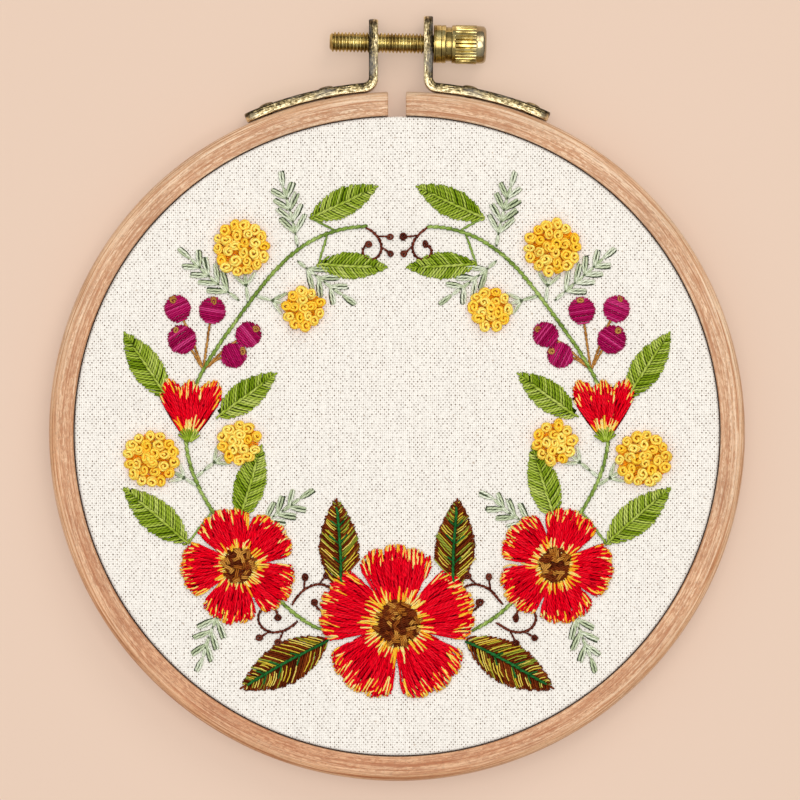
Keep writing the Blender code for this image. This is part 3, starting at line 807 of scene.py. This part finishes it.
def frenchKnots(group, centres, tone, size, lift, rng):
    # a coil of a little over two turns, the second slid across the first, ending in a dive through
    # the middle: the thread wrapped round the needle and pulled down. It climbs by smooth steps
    count = len(centres)
    t = np.linspace(0, 1, 28)
    turn = t * 2.2 * 2 * math.pi
    slideTo = rng.uniform(0, 2 * math.pi, (count, 1))
    slide = 0.26 * smoothStep(0.34, 0.62, t)
    wobble = 1 + 0.10 * np.sin(turn * 0.8 + rng.uniform(0, 6.28, (count, 1)))
    radius = (0.84 - 0.26 * t) * (1 - smoothStep(0.72, 0.99, t)) * wobble + 0.04
    z = -0.15 + 0.4 * smoothStep(0, 0.08, t) + 0.55 * smoothStep(0.3, 0.62, t) - 0.4 * smoothStep(0.9, 1.0, t)
    begin = rng.uniform(0, 2 * math.pi, count)[:, None]
    hand = rng.choice((-1, 1), count)[:, None]
    angle = begin + hand * turn
    size = np.broadcast_to(size, count)[:, None] * rng.uniform(0.88, 1.10, (count, 1))
    lean = rng.normal(0, 0.24, (count, 2))
    squash = rng.uniform(0.82, 1.18, (count, 1))
    x = (radius * np.cos(angle) + slide * np.cos(slideTo)) * size * squash
    y = (radius * np.sin(angle) + slide * np.sin(slideTo)) * size / squash
    height = clothFace + np.broadcast_to(lift, count)[:, None] + z * size + lean[:, :1] * x + lean[:, 1:] * y
    line = np.stack((centres[:, :1] + x, centres[:, 1:] + y, height), -1)
    ahead = np.gradient(line, axis=1)
    ahead /= np.linalg.norm(ahead, axis=2)[..., None]
    outward = np.stack((np.cos(angle), np.sin(angle), np.zeros_like(angle)), -1)
    up = np.cross(ahead, outward) * hand[..., None]
    up /= -np.maximum(np.linalg.norm(up, axis=2)[..., None], 1e-6)
    side = np.cross(up, ahead)
    half = 0.33 * size
    addTubes(group, line, side, up, half, half * 0.95, tone)


def sewGroup(name, material):
    # joins a group's stitches into one mesh: tubes of quads with a fan of triangles at each end
    points, tones, quads, ends, uvs, base = [], [], [], [], [], 0
    for tubes, poles, tone, run in sewing.pop(name):
        count, rings, sides = tubes.shape[:3]
        perTube = rings * sides + 2
        offset = (base + np.arange(count) * perTube)[:, None, None]
        tubeQuads, cornerRow, cornerColumn = gridFaces(rings, sides, False, True)
        quads.append((tubeQuads + offset).reshape(-1, 4))
        ends.append((np.concatenate(endFans(rings, sides)) + offset).reshape(-1, 3))
        share = np.broadcast_to(cornerColumn / sides, (count, *cornerColumn.shape))
        uvs.append(np.stack((run[:, cornerRow], share), -1).reshape(-1, 2))
        points.append(np.concatenate((tubes.reshape(count, rings * sides, 3), poles), 1).reshape(-1, 3))
        tones.append(np.repeat(tone, perTube))
        base += count * perTube
    faces = [np.concatenate(quads), np.concatenate(ends)]
    piece = makePiece(name, np.concatenate(points), faces, material, "hoop",
                      [np.concatenate(uvs), np.zeros((len(faces[1]) * 3, 2))], np.concatenate(tones))
    print(name, "stitched,", len(piece.data.polygons), "faces")
    return piece


# Places on the cloth. around is degrees from the foot of the hoop towards the right, out is mm
# from its centre. A spot is (origin, direction in degrees, side); side -1 mirrors it to the left.

def polar(around, out):
    a = np.radians(around)
    return np.stack((out * np.sin(a), -out * np.cos(a)), -1)


def spotAt(around, out, turn, side):
    # turn is degrees from straight outwards
    return polar(around, out), around - 90 + turn, side


def toHoop(local, spot):
    # turn by the direction, move to the origin, mirror
    origin, direction, side = spot
    local = np.asarray(local, float)
    c, s = math.cos(math.radians(direction)), math.sin(math.radians(direction))
    x = local[..., 0] * c - local[..., 1] * s + origin[0]
    y = local[..., 0] * s + local[..., 1] * c + origin[1]
    return np.stack((side * x, y), -1)


def pointAt(distance, run, line):
    # the point so far along a line whose own points lie at run
    return np.stack([np.interp(distance, run, line[:, axis]) for axis in (0, 1)], 1)


def smoothLine(controls):
    # Catmull-Rom curve through the points, then spaced evenly by length
    p = np.asarray(controls, float)
    p = np.concatenate((2 * p[:1] - p[1:2], p, 2 * p[-1:] - p[-2:-1]))
    t = np.linspace(0, 1, 24, endpoint=False)[:, None]
    parts = []
    for a, b, c, d in zip(p[:-3], p[1:-2], p[2:-1], p[3:]):
        parts.append(0.5 * (2 * b + (c - a) * t + (2 * a - 5 * b + 4 * c - d) * t ** 2
                            + (3 * b - a - 3 * c + d) * t ** 3))
    dense = np.concatenate(parts + [p[-2:-1]])
    run = runningLength(dense)
    return pointAt(np.linspace(0, run[-1], linePoints), run, dense), run[-1]


def stemStitch(group, controls, rng, tones, width, stitch=2.6, lift=0.0, keep=None):
    # a rope of slanted stitches: each starts on one edge of the line half a stitch before the last
    # one ends, and crosses to the other edge
    line, length = smoothLine(controls)
    where = np.linspace(0, length, linePoints)
    starts = np.arange(0, max(length - 0.45 * stitch, 0.1), stitch / 2)
    count = len(starts)
    root = pointAt(starts, where, line)
    tangent = pointAt(starts + 0.2, where, line) - root
    tangent /= np.maximum(np.hypot(*tangent.T), 1e-6)[:, None]
    thread = max(0.6 * width, 0.38)
    beside = np.stack((-tangent[:, 1], tangent[:, 0]), 1) * max(width - thread, 0.1) / 2
    first = root - beside + rng.normal(0, 0.03, (count, 2))
    last = pointAt(starts + stitch, where, line) + beside + rng.normal(0, 0.03, (count, 2))
    tone = rng.uniform(*tones, count)
    shown = np.ones(count, bool) if keep is None else keep((first + last) / 2)
    runStitches(group, first[shown], last[shown], tone[shown], thread, thread * 0.85, lift=lift, puff=0.06)


def chainStem(spots, rng):
    # two strands between one spot and the next, each bowed 0.2 mm to its own side, and a dark bit
    # of thread at each joint, painted shade where the strands go down
    here, following = spots[:-1], spots[1:]
    for shift in (-0.2, 0.2):
        runStitches("sage_sprigs", here, following, rng.uniform(0.4, 1.0, len(here)), 0.42, 0.40, bow=shift,
                    puff=0.08)
    # painted shade at the joint
    runStitches("sage_sprigs", here * 1.06 - following * 0.06, here * 0.8 + following * 0.2, 0.1, 0.36, 0.30,
                lift=0.24)


def satinRound(group, spot, radius, rng, tones, rise, pitch=0.38, lift=0.0):
    # parallel stitches across a circle, chord length 2 * sqrt(radius^2 - offset^2), domed
    offsets = np.arange(-radius + 0.14, radius, pitch)
    half = np.sqrt(np.maximum(radius ** 2 - offsets ** 2, 0.05))
    jitter = rng.normal(0, 0.07, (len(offsets), 2))
    start = toHoop(np.stack((-half + jitter[:, 0], offsets), 1), spot)
    stop = toHoop(np.stack((half + jitter[:, 1], offsets), 1), spot)
    runStitches(group, start, stop, rng.uniform(*tones, len(offsets)), 0.45, 0.38, puff=rise * half / radius,
                bow=rng.normal(0, 0.04, len(offsets)), lift=lift)


def fishboneLeaf(group, spot, halfLength, halfWidth, rng, tones, slant=48, pitch=0.40, width=0.46, over=None):
    # outline half width = halfWidth * sin(pi * share)^0.85; each stitch leaves the midrib at the
    # slant angle towards the tip and stops where it meets the outline, found by halving. over is
    # a second group: thin threads laid on top here and there.
    angle, side, lift = math.radians(slant), spot[2], 0.02
    spacing = pitch / math.sin(angle)
    start = np.arange(-halfLength + 0.1, halfLength - 0.5, spacing)
    count = len(start)

    def outline(x):
        share = np.clip((x + halfLength) / (2 * halfLength), 0, 1)
        return halfWidth * np.maximum(np.sin(math.pi * share ** 0.92), 0) ** 0.85

    low, high = np.zeros(count), np.full(count, 3 * halfWidth)
    for _ in range(22):
        middle = (low + high) / 2
        inside = middle * math.sin(angle) < outline(start + middle * math.cos(angle))
        low, high = np.where(inside, middle, low), np.where(inside, high, middle)
    # wide dark padding first, along the leaf, so that no cloth shows between the stitches: its dark is
    # painted shade
    for q in (-0.62, 0.0, 0.62):
        ends = ((-halfLength * (0.86 - abs(q) * 0.4), q * 0.2), (halfLength * (0.86 - abs(q) * 0.5), q * 0.2))
        runStitches(group, *toHoop(ends, spot)[:, None], 0.0, 0.9 * halfWidth, 0.3,
                    bow=side * q * halfWidth * 0.8, point=3.0)
    for half in (1, -1):
        reach = low * rng.uniform(0.97, 1.03, count) + 0.12 * np.sin(start * 2.6)
        shift = rng.normal(0, 0.04, count) + (0.0 if half > 0 else spacing / 2)
        root = np.stack((start + shift, np.full(count, -0.12 * half)), 1)
        tip = np.stack((start + shift + reach * math.cos(angle), half * reach * math.sin(angle)), 1)
        # painted light: one half lighter than the other, as the light catches the slant of its stitches
        tone = np.clip(rng.uniform(*tones, count) + (0.10 if half > 0 else -0.06), 0, 1)
        root, tip = toHoop(root, spot), toHoop(tip, spot)
        keep = (reach > 0.5) & clearOfBlossoms((root + tip) / 2)
        runStitches(group, root[keep], tip[keep], tone[keep], width, 0.40, lift=lift, puff=0.12,
                    bow=side * half * 0.14 + rng.normal(0, 0.05, keep.sum()))
        if over:
            again = keep & (rng.random(count) < 0.62)
            near = root + (tip - root) * rng.uniform(0.0, 0.3, (count, 1))
            far = root + (tip - root) * rng.uniform(0.72, 1.0, (count, 1)) + rng.normal(0, 0.1, root.shape)
            runStitches(over, near[again], far[again], rng.random(again.sum()), 0.27, 0.26, lift=lift + 0.26,
                        puff=0.10, bow=side * half * 0.14 + rng.normal(0, 0.14, again.sum()))
    ends = toHoop(((halfLength - 2.4, 0.0), (halfLength + 0.1, 0.0)), spot)
    runStitches(group, ends[0], ends[1], np.mean(tones), width, 0.38, lift=lift)


def longAndShortPetal(spot, inner, reach, halfWidth, rng, lift):
    # four rows of stitches fan from base to tip over dark padding, painted shade that shows between
    # them. share q across the petal, t along it: half width(t) grows from 0.3 to 1, the tip is cut at
    # t = 1 - 0.3 |q|^2.6 with notches between three lobes
    def place(t, q):
        x = inner + (reach - inner) * t
        y = q * halfWidth * (0.30 + 0.70 * smoothStep(-0.15, 0.8, t))
        return toHoop(np.stack((x, y), 1), spot)

    def tipOf(q):
        return 1 - 0.30 * np.abs(q) ** 2.6 - 0.055 * np.exp(-((np.abs(q) - 0.36) / 0.12) ** 2)

    # the dark padding: painted shade under the stitches
    under = np.linspace(-0.72, 0.72, max(int(halfWidth / 0.8), 3))
    runStitches("petal_stitches", place(np.full(len(under), 0.05), under * 0.8),
                place(tipOf(under) - 0.08, under), 0.0, 2.9 * halfWidth / len(under), 0.3, lift=lift - 0.05,
                point=3.0)
    rows = ((1.0, 0.68, 1.0), (0.80, 0.44, 0.94), (0.56, 0.22, 0.78), (0.36, 0.0, 0.60))
    for number, (outerEnd, innerEnd, spread) in enumerate(rows):
        count = int(2 * halfWidth * spread / 0.37)
        q = np.linspace(-0.97, 0.97, count) + rng.normal(0, 0.016, count)
        long = np.arange(count) % 2 * 0.08
        if number == 0:
            t1 = tipOf(q) + rng.normal(0, 0.014, count)
        else:
            t1 = np.minimum(outerEnd + long + rng.normal(0, 0.03, count), tipOf(q) - 0.04)
        t2 = innerEnd + (number < 3) * long + rng.normal(0, 0.03, count)
        runStitches("petal_stitches", place(t1, q), place(t2, q), rng.uniform(0.15, 1.0, count), 0.47, 0.37,
                    lift=lift + 0.05 * (3 - number), puff=0.14, bow=rng.normal(0, 0.05, count))
    for atTip, spacing in ((True, 0.42), (False, 0.36)):  # yellow streaks at both ends
        count = int(2 * halfWidth * (1.0 if atTip else 0.55) / spacing)
        q = np.linspace(-0.94, 0.94, count) + rng.normal(0, 0.06, count)
        long = 0.30 * rng.uniform(0.2, 1.0, count) ** 1.2 + 0.07
        first = tipOf(q) + 0.02 if atTip else np.zeros(count)
        second = first - long if atTip else long
        runStitches("petal_streaks", place(first, q), place(second, q + rng.normal(0, 0.04, count)),
                    rng.random(count), 0.40, 0.32, lift=lift + (0.27 if atTip else 0.31), puff=0.04,
                    bow=rng.normal(0, 0.16, count), point=1.0)


# The wreath

wreath = {
    "blossoms": ((0.0, 37.5, 15.5), (50.0, 40.5, 11.5)),  # around, out, reach
    "petals": 5,
    "variegatedLeaves": ((26.0, 50.5, 35, 10.0, 4.2), (27.0, 25.0, 150, 9.5, 4.0)),
    "greenLeaves": (
        (71.0, 50.0, 60, 8.5, 3.3), (71.0, 30.5, 126, 8.0, 3.1), (105.0, 51.0, 42, 8.0, 3.1),
        (104.0, 30.5, 130, 7.5, 3.0), (167.0, 46.5, 78, 7.5, 2.9), (165.0, 34.0, 108, 7.0, 2.7),
    ),
    "knotBalls": ((84.0, 48.5, 5.6), (86.5, 31.0, 4.4), (140.0, 47.5, 5.6), (143.0, 30.5, 4.4)),
    "berries": (
        (113.5, 46.0, 2.9), (119.5, 49.5, 2.7), (123.5, 43.5, 2.7), (115.5, 35.5, 2.6), (123.5, 35.0, 2.6),
    ),
    "tulips": ((98.0, 41.0, 84, 6.5, 4.6),),
    "vine": ((20.5, 35.5), (64.5, 91.0), (100.0, 172.0)),
    "sprigs": (
        (130.0, 40.5, 1, 12.5), (152.0, 41.5, 14, 12.0), (150.0, 39.0, 157, 11.0), (57.0, 33.5, 182, 10.5),
        (45.0, 48.5, -24, 10.5),
    ),
    "tendrils": ((27.5, 41.5, 22, 17.0, 1), (31.5, 40.0, 180, 19.0, 1), (171.0, 41.0, 128, 14.0, 1)),
}


def mirrored(kind):
    # every piece of a kind on the right, then on the left
    return [(side, shape) for side in (1, -1) for shape in wreath[kind]]


def vinePoint(around):
    # the vine's middle line waves 1.5 mm to each side of a circle
    return polar(around, 40 + 1.5 * np.sin(np.radians(around * 5)))


def clearOfBlossoms(points):
    # true where a stitch isn't under one of the blossoms or tulips
    clear = np.ones(len(points), bool)
    rounds = [(around, out, 0.90 * reach) for around, out, reach in wreath["blossoms"]]
    rounds += [(around, out, 0.95 * halfLength) for around, out, _, halfLength, _ in wreath["tulips"]]
    for around, out, radius in rounds:
        origin = polar(around, out)
        clear &= np.hypot(np.abs(points[:, 0]) - origin[0], points[:, 1] - origin[1]) > radius
    return clear


def sewBlossoms(rng):
    for around, out, reach in wreath["blossoms"]:
        for side in ((1,) if around == 0 else (1, -1)):
            origin = polar(around, out)
            for petal in range(wreath["petals"]):
                direction = around - 90 + 180 + 360 / wreath["petals"] * petal + rng.normal(0, 1.2)
                longAndShortPetal((origin, direction, side), 0.2 * reach, reach, 0.47 * reach, rng,
                                  0.10 + 0.07 * (petal % 2))
            seedCentre(origin * (side, 1), 0.31 * reach, rng)


def seedCentre(middle, radius, rng):
    # a flat dark ground, then short straight stitches in all directions over the disc, on a dome of
    # height 0.6 * sqrt(1 - share^2); dark and tan patches by a product of sines of the place
    satinRound("centre_stitches", (middle, 12.0, 1), radius, rng, (0.0, 0.3), 0.35, 0.36, 0.30)
    for layer in (0, 1):
        number = int(1.35 * radius ** 2)
        share = np.sqrt(rng.random(number)) * 0.88
        place = middle + (share * radius)[:, None] * unit(rng.uniform(0, 2 * math.pi, number))
        lean = rng.normal(0, 0.8, number)
        half = rng.uniform(0.6, 1.15, number)[:, None] * unit(lean)
        dome = 0.42 + 0.6 * np.sqrt(1 - share ** 2 * 0.98) + 0.10 * layer
        x, y = (place - middle).T
        patch = np.sin(x * 1.2 + 0.9) * np.sin(y * 1.5 - 1.2)
        tone = 0.30 + 0.42 * smoothStep(-0.4, 0.2, patch) + rng.uniform(-0.25, 0.28, number)
        for beside in (-0.17, 0.17):  # two strands side by side
            shift = beside * np.stack((-np.sin(lean), np.cos(lean)), 1)
            runStitches("centre_stitches", place - half + shift, place + half * 0.9 + shift,
                        np.clip(tone, 0.05, 1), 0.38, 0.36, lift=dome, dip=0.3)


def sewKnotBalls(rng):
    # knots in rings on a low dome, and a forked stem from the vine to each ball
    for side, (around, out, radius) in mirrored("knotBalls"):
        origin = polar(around, out)
        # a ground of deep orange satin first: painted shade that shows between the knots
        satinRound("knot_balls", (origin, 20.0, side), radius - 0.6, rng, (0.0, 0.2), 0.1, 0.42)
        rings, reach = [], radius - 1.05
        while reach > 1.0:
            turn = evenAngles(int(2 * math.pi * reach / 2.0)) + rng.uniform(0, 6.28)
            rings.append(reach * unit(turn))
            reach -= 1.72
        if reach > -0.75:
            rings.append(np.zeros((1, 2)))
        knots = np.concatenate(rings)
        knots = knots + rng.normal(0, 0.13, knots.shape)
        lift = 0.05 + 0.85 * np.sqrt(np.clip(1 - (np.hypot(*knots.T) / radius) ** 2, 0, 1))
        tone = rng.uniform(0.4, 1.0, len(knots))
        frenchKnots("knot_balls", origin * (side, 1) + knots, tone, 1.0, lift, rng)
        root = vinePoint(around - 9)
        away = (origin - root) / np.hypot(*(origin - root))
        near = origin - away * (radius - 0.6)
        fork = near - away * 2.6
        across = np.array((-away[1], away[0])) * 2.2
        stem = (root, (root + fork) / 2, fork)
        for path in (stem, (fork, near), (fork, near + across), (fork, near - across)):
            line, length = smoothLine(np.array(path) * (side, 1))
            joints = np.linspace(0, linePoints - 1, max(int(length / 2.1), 1) + 1).astype(int)
            chainStem(line[joints], rng)


def sewGreenLeaf(side, shape, rng):
    around, out, turn, halfLength, halfWidth = shape
    spot = spotAt(around, out, turn, side)
    fishboneLeaf("green_leaves", spot, halfLength, halfWidth, rng, (0.2, 0.75), pitch=0.46, width=0.5)
    rib = toHoop(((-halfLength, 0.0), (0.0, 0.1), (0.55 * halfLength, 0.0)), spot)
    stemStitch("green_leaves", rib, rng, (0.4, 0.8), 0.8, lift=0.34, keep=clearOfBlossoms)
    base = toHoop((-halfLength + 0.3, 0.0), spot)
    root = vinePoint(around - 4) * (side, 1)
    stemStitch("vine", (root, (root + base) / 2, base), rng, (0.3, 0.8), 0.7, keep=clearOfBlossoms)


def sewVariegatedLeaf(side, shape, rng):
    around, out, turn, halfLength, halfWidth = shape
    spot = spotAt(around, out, turn, side)
    fishboneLeaf("brown_leaves", spot, halfLength, halfWidth, rng, (0.1, 0.9), slant=44, over="leaf_threads")
    rib = toHoop(((-halfLength - 1.0, -0.3), (-2.0, 0.2), (halfLength - 1.6, 0.0)), spot)
    stemStitch("leaf_ribs", rib, rng, (0.2, 0.9), 0.85, 2.2, lift=0.42, keep=clearOfBlossoms)
    for share in (-0.35, 0.05, 0.4):
        for half in (1, -1):
            root = np.array((share * halfLength, 0.0))
            tip = root + np.array((0.5, half * 0.5)) * halfWidth * (0.95 - abs(share - 0.05) * 0.6)
            stemStitch("leaf_ribs", toHoop((root, tip), spot), rng, (0.2, 0.9), 0.45, 1.8, lift=0.40,
                       keep=clearOfBlossoms)


def sewLeaves(rng):
    for side in (1, -1):
        for shape in wreath["greenLeaves"]:
            sewGreenLeaf(side, shape, rng)
        for shape in wreath["variegatedLeaves"]:
            sewVariegatedLeaf(side, shape, rng)


def sewVine(rng):
    for side, ends in mirrored("vine"):
        stemStitch("vine", vinePoint(np.linspace(*ends, 40)) * (side, 1), rng, (0.1, 1.0), 1.05)


def sewBerries(rng):
    root = vinePoint(108.0)
    for side, (around, out, radius) in mirrored("berries"):
        origin = polar(around, out)
        outwards = math.degrees(math.atan2(origin[1] - root[1], origin[0] - root[0]))
        bend = root * 0.45 + origin * 0.55 + polar(around + 60, 0.8)
        stemStitch("stalks", np.array((root, bend, origin)) * (side, 1), rng, (0.2, 0.9), 0.72, 2.2)
        satinRound("berries", (origin, outwards + 90, side), radius, rng, (0.0, 0.9), 0.75)
        tip = toHoop(((radius - 0.75, 0.0),), (origin, outwards, side))
        frenchKnots("stalks", tip, rng.uniform(0.4, 0.9, 1), 0.62, 0.45, rng)


def sewTulips(rng):
    for side, (around, out, turn, halfLength, halfWidth) in mirrored("tulips"):
        spot = spotAt(around, out, turn, side)
        direction = spot[1]
        base = toHoop((-halfLength, 0.0), (*spot[:2], 1))
        for lean, lift, long in ((-24, 0.05, 0.94), (24, 0.05, 0.94), (0, 0.24, 0.86)):
            longAndShortPetal((base, direction + lean, side), 0.8, 2 * halfLength * long, halfWidth * 0.52,
                              rng, lift)
        fan = np.radians(np.linspace(-70, 70, 9))
        tip = np.stack((2.6 * np.cos(fan) - 0.4, 2.3 * np.sin(fan)), 1)
        foot = np.stack((np.full(9, -1.0), 0.2 * np.sin(fan)), 1)
        cup = (base, direction, side)
        runStitches("green_leaves", toHoop(foot, cup), toHoop(tip, cup), rng.uniform(0.2, 0.7, 9), 0.5, 0.4,
                    lift=0.48)


def sewSprigs(rng):
    # a stem of short end-to-end stitches, two strands that part between the joints, with pairs of
    # leaflets: two strands fan from one root over dark ones, painted shade that shows between them and on one
    # edge
    apart = np.array((0.0, -0.34, 0.22, -0.20))[:, None]
    for side, (around, out, turn, length) in mirrored("sprigs"):
        spot = spotAt(around, out, turn, side)
        bend = rng.normal(0, 0.5)
        joints = np.linspace(0, 1, max(int(length / 2.1), 2) + 1)
        chainStem(toHoop(np.stack((joints * length, bend * np.sin(3.0 * joints)), 1), spot), rng)
        for place in np.linspace(0.22, 1.0, int(length / 2.9) + 1):
            size = 4.2 * (1.08 - 0.32 * place)
            root = np.array((place * length, bend * math.sin(3.0 * place)))
            for half in (0,) if place > 0.97 else (1, -1):
                tilt = math.radians(40 * half + rng.normal(0, 4))
                ends = toHoop((root, root + size * unit(tilt)), spot)
                beside = (ends[1] - ends[0])[::-1] * (-1, 1) / size
                tips = ends[1] + apart * beside + rng.normal(0, 0.10, (4, 2))
                # the first two strands are dark: painted shade
                tone = np.concatenate(((0.05, 0.0), rng.uniform(0.4, 1.0, 2)))
                runStitches("sage_sprigs", np.tile(ends[0], (4, 1)), tips, tone, (0.6, 0.46, 0.52, 0.52),
                            (0.2, 0.2, 0.40, 0.40), lift=(0.02, 0.0, 0.10, 0.10),
                            bow=(0.0, -0.28, 0.24, -0.18))


def sewTendrils(rng):
    # dark stems that curl up: heading = curl * 5.6 * t^1.8, with a small knot where the curl ends
    # and short side shoots with knots of their own
    steps = 60
    for side, (around, out, turn, length, curl) in mirrored("tendrils"):
        spot = spotAt(around, out, turn, side)
        heading = curl * 5.6 * np.linspace(0, 1, steps) ** 1.8
        line = np.cumsum(unit(heading) * length / (steps - 1), axis=0)
        stemStitch("tendrils", toHoop(line, spot), rng, (0.1, 0.9), 0.78, 1.7)
        heads = [line[-1]]
        for at, far in ((12, 2.6), (22, 2.2)):
            tip = line[at] + far * unit(heading[at] - curl * 0.75)
            stemStitch("tendrils", toHoop((line[at], tip), spot), rng, (0.1, 0.9), 0.6, 1.6)
            heads.append(tip)
        frenchKnots("tendrils", toHoop(heads, spot), rng.uniform(0.2, 0.9, 3), 0.66, 0.1, rng)


threads = {  # group: material, slot, shine, painted shade colour, colour stops over each stitch's tone
    "petal_stitches": ("red_cotton_floss", "red_thread", "E81440", "8A0818",
                       [(0.0, "72000C"), (0.15, "D00016"), (0.45, "FC001E"), (1.0, "FF1A30")]),
    "petal_streaks": ("pale_yellow_cotton_floss", "yellow_thread", "FFE070", "F09A28",
                      [(0.0, "FFB81C"), (0.4, "FFE04C"), (1.0, "FFF9A8")]),
    "centre_stitches": ("brown_gold_cotton_floss", "brown_thread", "C88A50", "6A4A40",
                        [(0.0, "54190A"), (0.38, "8C3C16"), (0.55, "BC7426"), (1.0, "E8AC50")]),
    "knot_balls": ("yellow_cotton_floss", "yellow_thread", "FFF0A0", "FFBC30",
                   [(0.0, "FF9E00"), (0.3, "FFD61C"), (1.0, "FFF880")]),
    "green_leaves": ("leaf_green_cotton_floss", "green_thread", "A8C050", "4E5826",
                     [(0.0, "2A3A04"), (0.2, "7C9A14"), (0.5, "AAC240"), (1.0, "DEEA84")]),
    "vine": ("stem_green_cotton_floss", "green_thread", "B0C878", "6A7648",
             [(0.0, "648034"), (0.5, "8EAC4A"), (1.0, "B6CE76")]),
    "brown_leaves": ("brown_cotton_floss", "brown_thread", "A06038", "6A5048",
                     [(0.0, "36120A"), (0.1, "5E200A"), (0.6, "843612"), (0.8, "964A1A"), (0.86, "7E8C2C"),
                      (1.0, "A0B040")]),
    "leaf_threads": ("variegated_cotton_floss", "yellow_thread", "F0E080", "B09038",
                     [(0.0, "82962E"), (0.3, "B0BC3C"), (0.5, "EFD23C"), (1.0, "FFF07E")]),
    "leaf_ribs": ("dark_green_cotton_floss", "green_thread", "509058", "506850",
                  [(0.0, "165222"), (1.0, "2C7C3C")]),
    "sage_sprigs": ("sage_cotton_floss", "sage_thread", "D8E4C8", "868E70",
                    [(0.0, "37452C"), (0.1, "5C6A4C"), (0.3, "ACBC94"), (0.6, "D4E0BC"), (1.0, "F6FCE8")]),
    "berries": ("plum_cotton_floss", "plum_thread", "D06098", "8A4060",
                [(0.0, "9C0046"), (0.5, "C41466"), (1.0, "E44E94")]),
    "stalks": ("tan_cotton_floss", "brown_thread", "D8A868", "8A6848",
               [(0.0, "97602A"), (0.5, "BC823C"), (1.0, "D8A65C")]),
    "tendrils": ("dark_brown_cotton_floss", "brown_thread", "A06858", "705850",
                 [(0.0, "4A1A10"), (0.5, "6A2C1E"), (1.0, "8C4836")]),
}


def sewWreath():
    kinds = (sewVine, sewSprigs, sewTendrils, sewLeaves, sewBerries, sewTulips, sewBlossoms, sewKnotBalls)
    for seed, sew in enumerate(kinds, start=11):
        sew(np.random.default_rng(seed))
    return [sewGroup(name, threadMaterial(material, stops, shine, deep))
            for name, (material, slot, shine, deep, stops) in threads.items()]


setCamera()
setStudio()
print("camera, light and floor set")
splitRing(beechMaterial("sanded_beech", "F9DDBC", "E6BC94", "B77645", 0.5))
closedRing(beechMaterial("bare_beech", "EBC9A2", "DAB28A", "BD8C62", 0.6, 8.6, 3.9, 0.0))
print("rings made")
plated = platedMaterial("plated_steel_strip", clamp["shearedFace"] + clamp["broadFace"], clamp["shearedFace"])
domed = platedMaterial("plated_steel_rivet")
for earName, earShape in clamp["ears"].items():
    clampStrip("bracket_" + earName, earShape, plated)
    rivets("rivet_" + earName, earShape, domed)
screwPieces(brassMaterial())
print("clamp made")
cloth = stretchedCloth(clothMaterial())
print("cloth stretched")
stitching = sewWreath()
